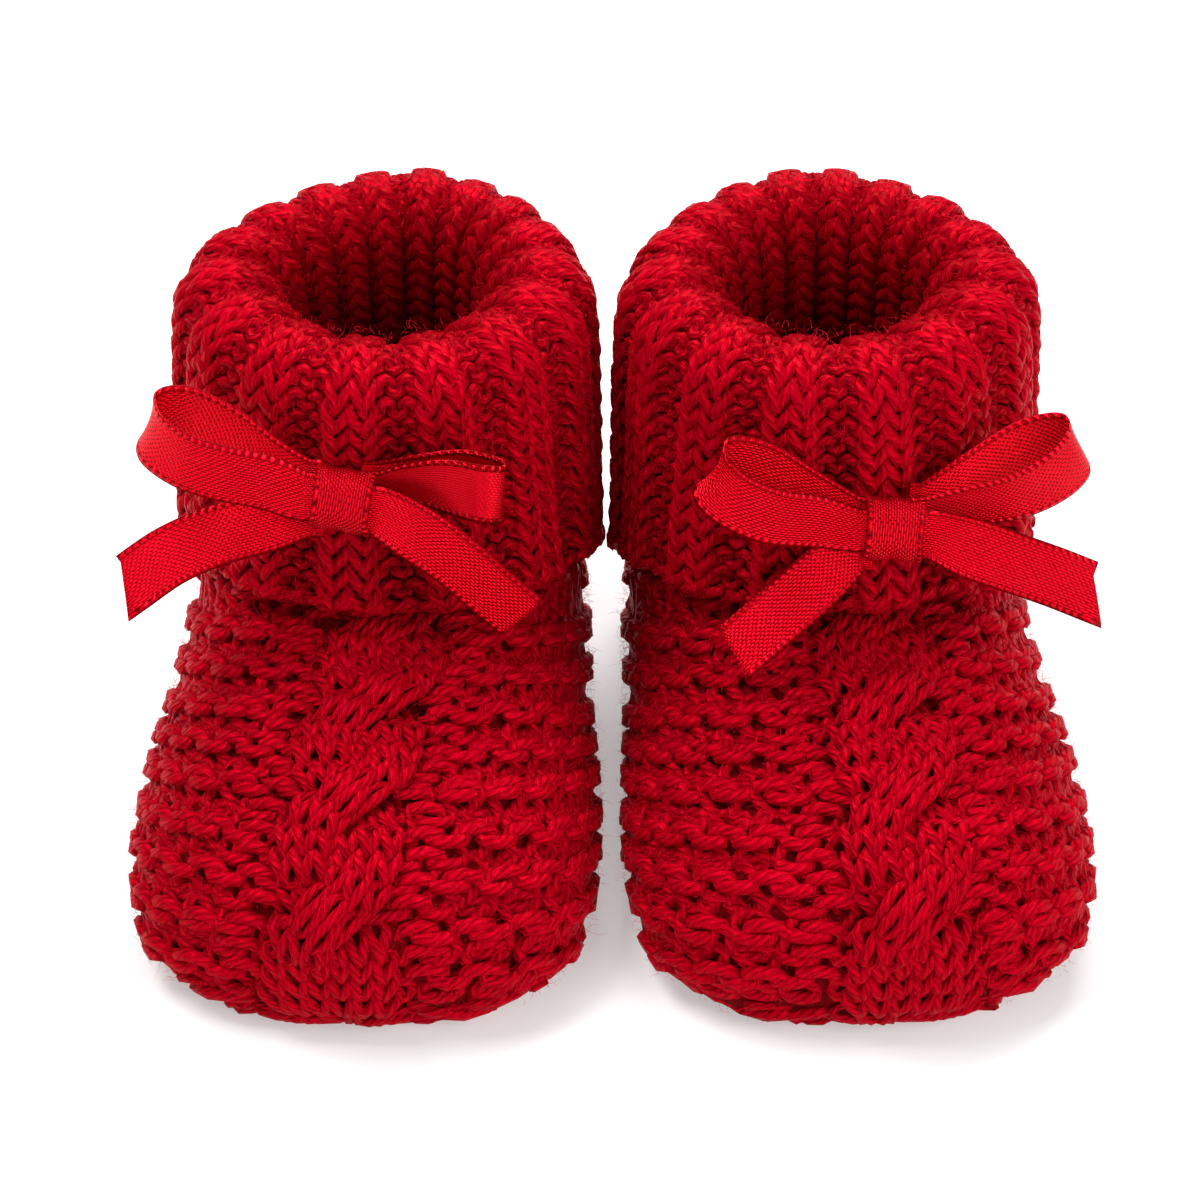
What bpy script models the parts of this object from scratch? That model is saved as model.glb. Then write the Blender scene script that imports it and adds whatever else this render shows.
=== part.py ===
"""Pair of knit baby booties with turned-down ribbed cuffs and satin ribbon bows.

Each bootie is one hollow knitted foot with a cable panel on its instep, one ribbed band that
stands up from the ankle, turns over in a soft roll and hangs down outside, and one tied bow.
Lengths below are in millimetres and are turned into metres when a mesh is made.
In a bootie's own frame the ankle is over the origin, the toe points along -Y and the sole is
on z = 0. "left" and "right" are the viewer's, looking at the toes.
"""

import math

import bmesh
import bpy
import numpy as np

# ---------------------------------------------------------------- driving dimensions (mm)
MM = 0.001
TOUCH_GAP = 0.3            # space between pieces that meet

FOOT_WALL = 2.6            # knitted fabric of the foot
CUFF_WALL = 2.6            # ribbed fabric of the cuff

ANKLE_X = {"left": -27.0, "right": 28.4}      # ankle centres, across the pair
TOE_OUT = {"left": -2.6, "right": 4.4}        # each toe is turned outwards, degrees

# Foot: one row for each section. A section's plane runs from a point on the instep or the
# front of the ankle (top) to a point on the sole or the heel (low).
FOOT_COLUMNS = ("top_y", "top_z", "low_y", "low_z", "half_width")
FOOT_SECTIONS = (
    (-72.0, 9.6, -72.0, 9.0, 0.3),
    (-71.2, 13.6, -71.4, 4.0, 9.0),
    (-69.0, 17.2, -69.6, 0.2, 16.8),
    (-65.4, 20.6, -66.4, -1.6, 22.6),
    (-60.0, 23.4, -61.4, -2.0, 26.6),
    (-52.0, 26.0, -53.6, -2.0, 28.4),
    (-43.0, 27.8, -44.4, -2.0, 28.6),
    (-35.0, 29.2, -34.6, -2.0, 28.0),
    (-29.2, 30.2, -24.0, -2.0, 27.0),
    (-26.0, 31.4, -11.0, -2.0, 26.2),
    (-24.2, 33.8, 3.0, -2.0, 25.6),
    (-22.2, 36.8, 15.0, -0.8, 24.8),
    (-19.8, 39.4, 21.6, 6.4, 23.0),
    (-17.4, 41.4, 22.6, 17.0, 20.8),
    (-15.3, 42.8, 20.0, 28.0, 18.4),
    (-13.9, 43.7, 15.6, 37.4, 16.4),
    (-13.25, 44.0, 13.25, 44.0, 15.35),
)
WIDEST_AT = 0.40           # height of the widest line, as a share of a section's height
SIDE_ROUNDNESS = 0.86      # exponent of the sections' sides, 1 is an ellipse
SOLE_SQUARENESS = 0.62     # exponent of the sections' lower half, smaller is flatter
ANKLE_ROUND_FROM = 12      # from this section on, the sections turn into ellipses

# Cable panel on the instep: six stitches in two strands that cross at even steps
CABLE_WIDTH = 15.4
CABLE_MARGIN = 1.2         # the panel's sloping edge, on each side
CABLE_PERIOD = 14.6        # from one crossing to the next
CABLE_RISE = 0.6           # whole panel above the instep
STRAND_RISE = 1.9          # crown of a strand above the panel
STRAND_HALF_WIDTH = 0.56   # as a share of half the panel
UNDER_SHARE = 0.35         # height of the strand that passes under, as a share
CABLE_LAST_CROSSING = 9.5  # last crossing's distance from the toe's tip, over the instep
CABLE_TOE_FADE = (1.0, 7.5)        # the cable sinks into the toe between these distances
CABLE_TOP_FADE = (40.5, 45.5)      # and into the instep in front of the cuff's edge
CABLE_GIRTH_SHARE = 0.16   # half of the panel is never more than this share of the girth
CABLE_SHIFT = {"left": (1.8, -2.4), "right": (3.2, 3.8)}   # at the cuff and at the toe
CABLE_SHIFT_AT = (-66.0, -29.0)   # places of those shifts along the instep, toe first
PANEL_EDGE = 1.15          # edge of the panel, where the strands' width is 1
PANEL_SLOPE = 0.3
CABLE_LEAN = {"left": 1.0, "right": 1.0}

# Places along the table of sections where the foot's mesh has its rings
TOE_PLACES = (0.45,)
INSTEP_PLACES = np.linspace(1.0, 8.0, 23)
LEG_PLACES = (8.8, 9.7, 10.6, 11.4, 12.1, 12.6, 13.0, 13.3, 13.6, 14.1, 14.7, 15.4, 16.0)
INSIDE_EVERY = 3           # the plain inside has one ring for so many outside
FOOT_COLUMNS_ON_CABLE = 6  # mesh columns on each half of the panel
FOOT_COLUMNS_BESIDE = 11   # mesh columns on each side, from the panel to the middle of the sole

# Cuff
CUFF_HALF_WIDTH = 19.5     # roll's centre line, across
CUFF_HALF_DEPTH = 17.4     # roll's centre line, front to back
CUFF_ROLL_RADIUS = 6.75    # outer radius of the roll
CUFF_ROLL_HEIGHT = 59.4    # height of the roll's centre line
CUFF_INNER_EDGE = 44.3     # lower edge of the inner layer
CUFF_SIDE_EDGE = 20.5      # lower edge of the outer layer at the sides
CUFF_FRONT_RISE = 11.4     # how much higher that edge is at the front, where it is on the instep
CUFF_BACK_DROP = 1.5       # and how much lower at the back
CUFF_FRONT_FLARE = 4.6     # the outer layer leans out over the instep
CUFF_SIDE_FLARE = 0.4
FLARE_POWER = 1.4          # the outer layer leans out more and more towards its edge
CUFF_BACK_SKEW = {"left": 2.6, "right": -0.6}   # the back of the roll is moved aside by this
CUFF_BACK_PINCH = 0.075    # the roll's back corners are pulled in by this share
DRAWN_CLEAR = 1.0          # room between the foot and the outer layer that hugs it
EDGE_CLEAR = 2.2           # the foot swells from this far below the cuff's edge
DRAWN_SLOPE = 0.8          # the foot swells below the cuff's edge by this much for each mm
DRAWN_FRONT_SLOPE = 7.0    # and at the front, where the edge is on the instep
LEAN_FROM = 12.0           # height on the heel from which the back is shaped like that
CUFF_RIBS = 16             # each of two knit and two purl stitches
STITCHES_PER_RIB = 4
RIB_MIDDLE = {"left": -0.9, "right": 1.6}     # middle of a knit rib, in stitches from the front
RIB_CROWDING = 0.17        # share by which stitches are wider at the front, narrower at the back
RIB_RISE = 0.85            # knit stitches above the middle of the rib's wave
CUFF_LEG_STEPS = 3
CUFF_ROLL_STEPS = 6
CUFF_HANG_STEPS = 4

# Bows: satin ribbon, in a frame at the knot: right, up along the leaning cuff, out of it
RIBBON_WIDTH = 7.5
RIBBON_WALL = 1.0
BOW_LEAN = 24.0            # degrees that the bow's plane leans back from upright
KNOT_WIDTH = 7.4
KNOT_HEIGHT = 8.2
KNOT_DEPTH = 5.0
KNOT_SEAT_GAP = {"left": 0.8, "right": 1.0}   # from the ribs' crowns, 0.3 at the nearest corner
KNOT_TURN = {"left": 8.0, "right": 6.0}       # knot turned in the bow's plane, degrees
KNOT_PLACE = {"left": (-3.3, 49.1), "right": (5.3, 44.6)}   # x and height on the cuff's front

RIBBON_COLUMNS = ("right", "up", "out", "spin", "pitch", "width_share")
RIBBONS = {
    "left": {
        "loop_left": (
            (-4.85, 0.7, 1.7, 12.0, 4.0, 0.85),
            (-9.0, 2.4, 2.6, 14.0, 8.0, 0.95),
            (-14.4, 3.8, 3.8, 14.0, 12.0, 1.0),
            (-19.2, 5.4, 4.0, 16.0, 14.0, 1.0),
            (-23.0, 7.6, 2.2, 18.0, 14.0, 1.0),
            (-23.6, 9.4, -0.8, 22.0, 12.0, 1.0),
            (-20.4, 9.8, -2.4, 28.0, 12.0, 1.0),
            (-14.8, 7.8, -1.4, 30.0, 12.0, 1.0),
            (-9.2, 4.4, 0.1, 26.0, 10.0, 0.95),
            (-4.85, 2.1, 0.1, 18.0, 4.0, 0.85),
        ),
        "loop_right": (
            (4.85, 1.8, 0.0, -14.0, 20.0, 0.6),
            (8.6, 2.6, 1.1, -12.0, 20.0, 0.8),
            (13.0, 2.8, 2.8, -8.0, 12.0, 1.0),
            (17.0, 2.2, 3.6, -2.0, 6.0, 1.0),
            (19.5, 1.8, 2.4, 2.0, 6.0, 1.0),
            (19.2, 2.4, 0.5, 0.0, 8.0, 1.0),
            (14.8, 3.2, -0.5, -8.0, 10.0, 1.0),
            (9.2, 2.9, -0.9, -12.0, 10.0, 0.8),
            (4.85, 2.4, -1.7, -14.0, 4.0, 0.6),
        ),
        "tail_left": (
            (-4.85, -2.4, -1.8, -12.0, 0.0, 0.85),
            (-9.8, -3.8, -1.8, -14.0, -4.0, 1.0),
            (-15.4, -5.2, -0.6, -18.0, -8.0, 1.0),
            (-21.0, -7.4, 1.4, -26.0, -8.0, 1.0),
            (-26.6, -11.4, 2.2, -34.0, -8.0, 1.0),
        ),
        "tail_right": (
            (4.85, -1.0, 1.7, 20.0, 0.0, 0.85),
            (9.4, -3.2, 2.8, 28.0, 8.0, 1.0),
            (14.2, -6.8, 2.2, 38.0, 14.0, 1.0),
            (18.2, -10.8, 0.8, 42.0, 16.0, 1.0),
            (22.2, -14.6, -0.6, 42.0, 16.0, 1.0),
        ),
    },
    "right": {
        "loop_left": (
            (-4.85, 0.5, 1.7, 10.0, 5.0, 0.75),
            (-9.4, 2.0, 2.8, 14.0, 8.0, 0.9),
            (-15.0, 3.4, 4.4, 18.0, 12.0, 1.0),
            (-19.8, 5.8, 4.8, 26.0, 14.0, 1.0),
            (-22.2, 8.2, 3.4, 30.0, 14.0, 1.0),
            (-21.0, 9.8, 1.2, 32.0, 14.0, 1.0),
            (-16.4, 8.6, 0.2, 34.0, 14.0, 1.0),
            (-10.6, 5.0, 0.0, 30.0, 10.0, 0.9),
            (-4.85, 1.8, 0.1, 22.0, 4.0, 0.75),
        ),
        "loop_right": (
            (4.85, 1.8, 0.0, -14.0, 20.0, 0.7),
            (9.4, 2.8, 0.8, -14.0, 26.0, 0.85),
            (15.2, 4.0, 2.0, -16.0, 28.0, 1.0),
            (20.0, 6.2, 2.4, -22.0, 24.0, 1.0),
            (22.8, 8.6, 1.0, -24.0, 18.0, 1.0),
            (22.0, 10.2, -1.2, -28.0, 12.0, 1.0),
            (17.2, 9.2, -2.0, -32.0, 12.0, 1.0),
            (10.8, 6.0, -1.4, -30.0, 10.0, 0.9),
            (4.85, 3.0, -1.7, -22.0, 4.0, 0.7),
        ),
        "tail_left": (
            (-4.85, -2.8, -1.8, -24.0, 0.0, 0.85),
            (-9.2, -6.4, -1.4, -36.0, -4.0, 1.0),
            (-14.6, -10.4, 0.0, -42.0, -6.0, 1.0),
            (-20.2, -14.8, 0.4, -44.0, -6.0, 1.0),
        ),
        "tail_right": (
            (4.85, -0.6, 1.7, 8.0, 0.0, 0.85),
            (9.2, -2.2, 2.5, 16.0, -6.0, 1.0),
            (14.6, -4.4, 2.5, 21.0, -10.0, 1.0),
            (19.8, -6.6, 2.3, 22.0, -12.0, 1.0),
            (24.8, -9.0, 1.9, 22.0, -12.0, 1.0),
        ),
    },
}
# Slanted cuts of the tails: how far the upper edge ends short of the middle
TAIL_CUTS = {
    "left": {"tail_left": 2.0, "tail_right": 0.0},
    "right": {"tail_left": 0.9, "tail_right": 2.4},
}
RIBBON_STEPS = 2           # mesh sections for each row of a ribbon's table

YARN_COLOUR = (0.52, 0.004, 0.018)
RIBBON_COLOUR = (0.60, 0.003, 0.012)
YARN_ROUGHNESS = 0.85
RIBBON_ROUGHNESS = 0.35


# ---------------------------------------------------------------- small helpers
def clear_scene():
    for item in list(bpy.data.objects):
        bpy.data.objects.remove(item, do_unlink=True)


def make_material(name, colour, roughness):
    finish = bpy.data.materials.new(name)
    finish.use_nodes = True
    shader = finish.node_tree.nodes["Principled BSDF"]
    shader.inputs["Base Color"].default_value = (*colour, 1.0)
    shader.inputs["Roughness"].default_value = roughness
    shader.inputs["Metallic"].default_value = 0.0
    return finish


def read_table(rows, places):
    """Values between a table's rows, on a smooth curve through them (Catmull-Rom)."""
    rows = np.asarray(rows, dtype=float)
    padded = np.vstack((2 * rows[0] - rows[1], rows, 2 * rows[-1] - rows[-2]))
    places = np.clip(np.asarray(places, dtype=float), 0.0, len(rows) - 1.0)
    start = np.minimum(places.astype(int), len(rows) - 2)
    t = (places - start)[:, None]
    before = padded[start]
    here = padded[start + 1]
    there = padded[start + 2]
    after = padded[start + 3]
    bend = (2 * before - 5 * here + 4 * there - after) * t ** 2
    swing = (3 * here - before - 3 * there + after) * t ** 3
    return here + 0.5 * ((there - before) * t + bend + swing)


def ease(value, start, end):
    """Smooth step from 0 at start to 1 at end."""
    share = min(1.0, max(0.0, (value - start) / (end - start)))
    return share * share * (3.0 - 2.0 * share)


def unit(vectors):
    return vectors / np.linalg.norm(vectors, axis=-1, keepdims=True)


def make_object(name, points, faces, finish, parent):
    """A mesh object from points in millimetres in its bootie's frame."""
    mesh = bpy.data.meshes.new(name)
    shape = bmesh.new()
    corners = [shape.verts.new(point * MM) for point in points]
    for face in faces:
        shape.faces.new([corners[index] for index in face])
    bmesh.ops.recalc_face_normals(shape, faces=shape.faces)
    shape.to_mesh(mesh)
    shape.free()
    mesh.shade_smooth()
    mesh.materials.append(finish)
    item = bpy.data.objects.new(name, mesh)
    bpy.context.scene.collection.objects.link(item)
    item.parent = parent
    return item


def ring_faces(first, second, count):
    """Quads between two rings of the same number of points, given by their first points."""
    faces = []
    for index in range(count):
        after = (index + 1) % count
        faces.append((first + index, first + after, second + after, second + index))
    return faces


# ---------------------------------------------------------------- round the ankle
def back_lean(height):
    """How much of the shape of the cuff's back there is at a height: none low on the heel."""
    return np.clip((height - LEAN_FROM) / (CUFF_INNER_EDGE - LEAN_FROM), 0.0, 1.0)


def ankle_place(turn, offset, height, side):
    """Plan position at a turn and an offset from the roll's centre line.

    The back of the cuff is a little pointed and moved aside.
    """
    lean = back_lean(height)
    back = np.maximum(0.0, -np.cos(turn))
    pinch = 1.0 - lean * CUFF_BACK_PINCH * 2.0 * back * np.abs(np.sin(turn))
    x = (CUFF_HALF_WIDTH + offset) * np.sin(turn) * pinch
    y = -(CUFF_HALF_DEPTH + offset) * np.cos(turn) * pinch
    return np.array((x + lean * CUFF_BACK_SKEW[side] * back ** 1.5, y))


def ankle_offset(x, y):
    """The turn and offset from the roll's centre line of plan positions, by halving."""
    low = np.full_like(x, 1.0 - CUFF_HALF_DEPTH)
    high = np.full_like(x, 80.0)
    for _ in range(30):
        middle = (low + high) / 2
        outside = (x / (CUFF_HALF_WIDTH + middle)) ** 2 + (y / (CUFF_HALF_DEPTH + middle)) ** 2 > 1.0
        low = np.where(outside, middle, low)
        high = np.where(outside, high, middle)
    return np.arctan2(x / (CUFF_HALF_WIDTH + low), -y / (CUFF_HALF_DEPTH + low)), low


def cuff_edge(turn):
    """Height of the outer layer's lower edge; turn is 0 at the front, pi at the back."""
    front = np.clip(np.cos(turn), 0.0, 1.0)
    back = np.clip(-np.cos(turn), 0.0, 1.0)
    return CUFF_SIDE_EDGE + CUFF_FRONT_RISE * front ** 0.6 - CUFF_BACK_DROP * back


def cuff_flare(turn):
    front = np.clip(np.cos(turn), 0.0, 1.0)
    return CUFF_SIDE_FLARE + (CUFF_FRONT_FLARE - CUFF_SIDE_FLARE) * front ** 1.5


def hang_share(turn, height):
    """How far down the outer layer a height is: 0 at the roll, 1 at the lower edge."""
    edge = cuff_edge(turn)
    return np.clip((CUFF_ROLL_HEIGHT - height) / (CUFF_ROLL_HEIGHT - edge), 0.0, 1.0)


def draw_in(points, side):
    """Draws the foot in under the cuff, which hugs it, and out again below the cuff's edge."""
    x, y, z = points.T
    turn, offset = ankle_offset(x, y)
    room = CUFF_ROLL_RADIUS - CUFF_WALL - DRAWN_CLEAR
    room = room + cuff_flare(turn) * hang_share(turn, z) ** FLARE_POWER
    front = np.clip(np.cos(turn), 0.0, 1.0) ** 2
    below = np.maximum(0.0, cuff_edge(turn) - EDGE_CLEAR - z)
    room = room + below * (DRAWN_SLOPE + (DRAWN_FRONT_SLOPE - DRAWN_SLOPE) * front)
    drawn = np.minimum(offset, room)
    place = ankle_place(turn, drawn, z, side)
    free = (z > 0.5) & (offset > 5.0 - CUFF_HALF_DEPTH)
    moved = points.copy()
    moved[free, 0] = place[0][free]
    moved[free, 1] = place[1][free]
    return moved


# ---------------------------------------------------------------- foot
def foot_ring(place, side, samples=240):
    """Dense closed outline of the foot's outside at one place along its table."""
    row = read_table(FOOT_SECTIONS, [place])[0]
    top_y, top_z, low_y, low_z, half_width = row
    turn = np.linspace(0.0, 2.0 * math.pi, samples, endpoint=False)
    sway = np.sin(turn)
    rise = np.cos(turn)
    ankle = np.clip((place - ANKLE_ROUND_FROM) / (len(FOOT_SECTIONS) - 1 - ANKLE_ROUND_FROM), 0, 1)
    widest = WIDEST_AT + (0.5 - WIDEST_AT) * ankle
    side_power = SIDE_ROUNDNESS + (1.0 - SIDE_ROUNDNESS) * ankle
    sole_power = SOLE_SQUARENESS + (1.0 - SOLE_SQUARENESS) * ankle
    x = half_width * np.sign(sway) * np.abs(sway) ** side_power
    upper = widest + (1.0 - widest) * np.abs(rise)
    lower = widest - widest * np.abs(rise) ** sole_power
    share = np.where(rise >= 0.0, upper, lower)
    y = low_y + (top_y - low_y) * share
    z = low_z + (top_z - low_z) * share
    return draw_in(np.stack((x, y, np.maximum(z, 0.0)), axis=1), side)


def ring_at_shares(ring, shares):
    """Points of a closed outline at shares of its girth, counted from its top point."""
    closed = np.vstack((ring, ring[:1]))
    run = np.concatenate(([0.0], np.cumsum(np.linalg.norm(np.diff(closed, axis=0), axis=1))))
    want = (np.asarray(shares) % 1.0) * run[-1]
    return np.stack([np.interp(want, run, closed[:, axis]) for axis in range(3)], axis=1)


def ring_girth(ring):
    return float(np.linalg.norm(np.diff(np.vstack((ring, ring[:1])), axis=0), axis=1).sum())


def panel_half(girth):
    """Half the width of the cable's panel on a ring: it narrows with the toe."""
    return min(CABLE_WIDTH / 2 + CABLE_MARGIN, CABLE_GIRTH_SHARE * girth)


def foot_shares(girth, shift):
    """Shares of the girth of one ring's points: fine over the cable, even on the rest."""
    half = panel_half(girth) / girth
    middle = shift * min(1.0, CABLE_GIRTH_SHARE * girth / (CABLE_WIDTH / 2)) / girth
    over = np.arange(-FOOT_COLUMNS_ON_CABLE, FOOT_COLUMNS_ON_CABLE + 1) / FOOT_COLUMNS_ON_CABLE
    beside = np.arange(1, FOOT_COLUMNS_BESIDE + 1) / (FOOT_COLUMNS_BESIDE + 0.5)
    right = middle + half + (0.5 - middle - half) * beside
    left = 1.0 + middle - half - (0.5 + middle - half) * beside[::-1]
    return np.concatenate((middle + over * half, right, left))


def instep_run(places):
    """Distance of each place from the toe's tip, measured over the instep."""
    dense = np.linspace(0.0, len(FOOT_SECTIONS) - 1.0, 400)
    rows = read_table(FOOT_SECTIONS, dense)
    steps = np.hypot(np.diff(rows[:, 0]), np.diff(rows[:, 1]))
    return np.interp(places, dense, np.concatenate(([0.0], np.cumsum(steps))))


def cable_rise(across, along, lean):
    """Height of the cable over the instep; across runs from -1 to 1 over the panel."""
    phase = math.pi * (along - CABLE_LAST_CROSSING + CABLE_PERIOD / 2) / CABLE_PERIOD
    swing = math.cos(phase)
    slope = -math.sin(phase) * lean
    edge = np.clip((PANEL_EDGE - np.abs(across)) / PANEL_SLOPE, 0.0, 1.0)
    strands = []
    for way in (1.0, -1.0):
        middle = 0.5 * swing * way
        crown = np.clip(1.0 - ((across - middle) / STRAND_HALF_WIDTH) ** 2, 0.0, 1.0)
        over = 0.5 + 0.5 * slope * way
        strands.append(crown * (UNDER_SHARE + (1.0 - UNDER_SHARE) * over))
    return edge * CABLE_RISE + STRAND_RISE * np.maximum(strands[0], strands[1])


def foot_normals(points):
    """Outward unit normals of a grid of ring points."""
    around = np.roll(points, -1, axis=1) - np.roll(points, 1, axis=1)
    along = np.gradient(points, axis=0)
    return unit(np.cross(around, along) + 1e-12)


def make_foot(side, finish, parent):
    outer_places = np.concatenate((TOE_PLACES, INSTEP_PLACES, LEG_PLACES))
    runs = instep_run(outer_places)
    rings = []
    acrosses = []
    for place in outer_places:
        dense = foot_ring(place, side)
        girth = ring_girth(dense)
        shift = np.interp(dense[0, 1], CABLE_SHIFT_AT, CABLE_SHIFT[side][::-1])
        shares = foot_shares(girth, shift)
        rings.append(ring_at_shares(dense, shares))
        half = panel_half(girth)
        offset = (shares - shares[FOOT_COLUMNS_ON_CABLE] + 0.5) % 1.0 - 0.5
        acrosses.append(offset * girth / half * PANEL_EDGE)
    base = np.array(rings)
    normals = foot_normals(base)
    normals[base[:, :, 2] <= 0.0] = (0.0, 0.0, -1.0)

    outside = base.copy()
    for index, along in enumerate(runs):
        fade = ease(along, *CABLE_TOE_FADE) * (1.0 - ease(along, *CABLE_TOP_FADE))
        rise = cable_rise(acrosses[index], along, CABLE_LEAN[side]) * fade
        rise[np.abs(acrosses[index]) > PANEL_EDGE] = 0.0
        outside[index] += normals[index] * rise[:, None]

    keep = list(range(2, len(outer_places) - 1, INSIDE_EVERY)) + [len(outer_places) - 1]
    inside = base[keep] - normals[keep] * FOOT_WALL
    inside[:, :, 2] = np.maximum(inside[:, :, 2], FOOT_WALL)

    count = base.shape[1]
    tip = np.array((0.0, FOOT_SECTIONS[0][0], FOOT_SECTIONS[0][1]))
    inner_tip = tip + np.array((0.0, FOOT_WALL, 0.0))
    points = [tip, *outside.reshape(-1, 3), *inside.reshape(-1, 3), inner_tip]
    faces = [(0, 1 + index, 1 + (index + 1) % count) for index in range(count)]
    for ring in range(len(outside) - 1):
        faces += ring_faces(1 + ring * count, 1 + (ring + 1) * count, count)
    first_inside = 1 + len(outside) * count
    faces += ring_faces(first_inside - count, first_inside + (len(inside) - 1) * count, count)
    for ring in range(len(inside) - 1):
        start = first_inside + ring * count
        faces += ring_faces(start, start + count, count)
    end = len(points) - 1
    faces += [(end, first_inside + i, first_inside + (i + 1) % count) for i in range(count)]
    return make_object(f"{side}_foot", points, faces, finish, parent)


# ---------------------------------------------------------------- cuff
def cuff_section(turn):
    """Middle line of the turned-over band at one turn: offset from the roll, height, normal."""
    radius = CUFF_ROLL_RADIUS - CUFF_WALL / 2
    line = []
    for step in range(CUFF_LEG_STEPS):
        share = step / CUFF_LEG_STEPS
        height = CUFF_INNER_EDGE + share * (CUFF_ROLL_HEIGHT - CUFF_INNER_EDGE)
        line.append((-radius, height, -1.0, 0.0))
    for step in range(CUFF_ROLL_STEPS + 1):
        angle = math.pi * (1.0 - step / CUFF_ROLL_STEPS)
        across = math.cos(angle)
        up = math.sin(angle)
        line.append((radius * across, CUFF_ROLL_HEIGHT + radius * up, across, up))
    edge = float(cuff_edge(turn))
    flare = float(cuff_flare(turn))
    for step in range(1, CUFF_HANG_STEPS + 1):
        share = step / CUFF_HANG_STEPS
        height = CUFF_ROLL_HEIGHT + share * (edge - CUFF_ROLL_HEIGHT)
        line.append((radius + flare * share ** FLARE_POWER, height, 1.0, 0.1 * flare / 4.0))
    return line


def cuff_points(turn, rise, side):
    """Visible and hidden points of the band at one turn round the ankle."""
    shown = []
    hidden = []
    for offset, height, across, up in cuff_section(turn):
        normal = unit(np.array((across, up)))
        for points, shift in ((shown, CUFF_WALL / 2 + rise), (hidden, -CUFF_WALL / 2)):
            level = height + normal[1] * shift
            place = ankle_place(turn, offset + normal[0] * shift, level, side)
            points.append((place[0], place[1], level))
    return shown, hidden


def stitch_turn(stitch):
    """Turn round the ankle of a place counted in stitches from the front."""
    even = 2.0 * math.pi * stitch / (CUFF_RIBS * STITCHES_PER_RIB)
    return even + RIB_CROWDING * math.sin(even)


def make_cuff(side, finish, parent):
    count = CUFF_RIBS * STITCHES_PER_RIB
    columns = []
    for index in range(count):
        turn = stitch_turn(RIB_MIDDLE[side] + index - 1.5)
        knit = index % STITCHES_PER_RIB in (1, 2)
        rise = RIB_RISE if knit else -RIB_RISE / 2
        shown, hidden = cuff_points(turn, rise, side)
        columns.append(shown + hidden[::-1])
    grid = np.array(columns).transpose(1, 0, 2)
    faces = []
    for ring in range(len(grid)):
        after = (ring + 1) % len(grid)
        faces += ring_faces(ring * count, after * count, count)
    return make_object(f"{side}_cuff", grid.reshape(-1, 3), faces, finish, parent)


# ---------------------------------------------------------------- bow
def bow_axes():
    lean = math.radians(BOW_LEAN)
    right = np.array((1.0, 0.0, 0.0))
    up = np.array((0.0, math.sin(lean), math.cos(lean)))
    out = np.cross(right, up)
    return right, up, out


def cuff_front_depth(x, height):
    """How far forward the crowns of the cuff's ribs are at a place on its front."""
    turn = 0.0
    for _ in range(6):
        flare = float(cuff_flare(turn) * hang_share(turn, height) ** FLARE_POWER)
        offset = CUFF_ROLL_RADIUS + flare + RIB_RISE
        turn = math.asin(x / (CUFF_HALF_WIDTH + offset))
    return (CUFF_HALF_DEPTH + offset) * math.cos(turn)


def knot_centre(side):
    x, height = KNOT_PLACE[side]
    out = bow_axes()[2]
    depth = cuff_front_depth(x, height)
    seat = np.array((x, -depth, height))
    return seat + out * (KNOT_DEPTH / 2 + KNOT_SEAT_GAP[side])


def make_ribbon(name, rows, cut, centre, finish, parent):
    """A strip of ribbon along a table of places in the bow's frame, closed at both ends."""
    right, up, out = bow_axes()
    steps = (len(rows) - 1) * RIBBON_STEPS
    values = read_table(rows, np.linspace(0.0, len(rows) - 1.0, steps + 1))
    path = centre + values[:, 0:1] * right + values[:, 1:2] * up + values[:, 2:3] * out
    spin = np.radians(values[:, 3:4])
    pitch = np.radians(values[:, 4:5])
    width = np.cos(spin) * (np.cos(pitch) * up + np.sin(pitch) * out) + np.sin(spin) * right
    along = unit(np.gradient(path, axis=0))
    width = unit(width - (width * along).sum(axis=1, keepdims=True) * along)
    thick = np.cross(along, width)
    half_width = RIBBON_WIDTH / 2 * values[:, 5:6]
    half_wall = RIBBON_WALL / 2
    slant = np.zeros_like(half_width)
    slant[-1] = cut
    sections = []
    for across, through in ((1, 1), (1, -1), (0, -1), (-1, -1), (-1, 1), (0, 1)):
        edge = path + width * across * half_width - along * across * slant
        sections.append(edge + thick * through * half_wall)
    grid = np.array(sections).transpose(1, 0, 2)
    count = len(sections)
    faces = []
    for ring in range(steps):
        faces += ring_faces(ring * count, (ring + 1) * count, count)
    for start in (0, steps * count):
        faces.append((start, start + 1, start + 2, start + 5))
        faces.append((start + 5, start + 2, start + 3, start + 4))
    return make_object(name, grid.reshape(-1, 3), faces, finish, parent)


def make_knot(side, centre, finish, parent):
    """The wrap in the middle of the bow: a soft block, slimmer at its waist and ends."""
    right, up, out = bow_axes()
    spin = math.radians(KNOT_TURN[side])
    tall = math.cos(spin) * up + math.sin(spin) * right
    wide = math.cos(spin) * right - math.sin(spin) * up
    around = 16
    grid = []
    for share, fullness in ((-1.0, 0.80), (-0.72, 0.96), (0.0, 0.92), (0.72, 0.96), (1.0, 0.80)):
        for index in range(around):
            turn = 2.0 * math.pi * index / around
            high = math.copysign(abs(math.cos(turn)) ** 0.6, math.cos(turn))
            deep = math.copysign(abs(math.sin(turn)) ** 0.7, math.sin(turn))
            point = wide * share * KNOT_WIDTH / 2
            point = point + tall * high * fullness * KNOT_HEIGHT / 2
            point = point + out * deep * fullness * KNOT_DEPTH / 2
            grid.append(centre + point)
    faces = []
    for ring in range(4):
        faces += ring_faces(ring * around, (ring + 1) * around, around)
    faces.append(tuple(range(around)))
    faces.append(tuple(range(4 * around, 5 * around)))
    return make_object(f"{side}_bow_knot", grid, faces, finish, parent)


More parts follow.
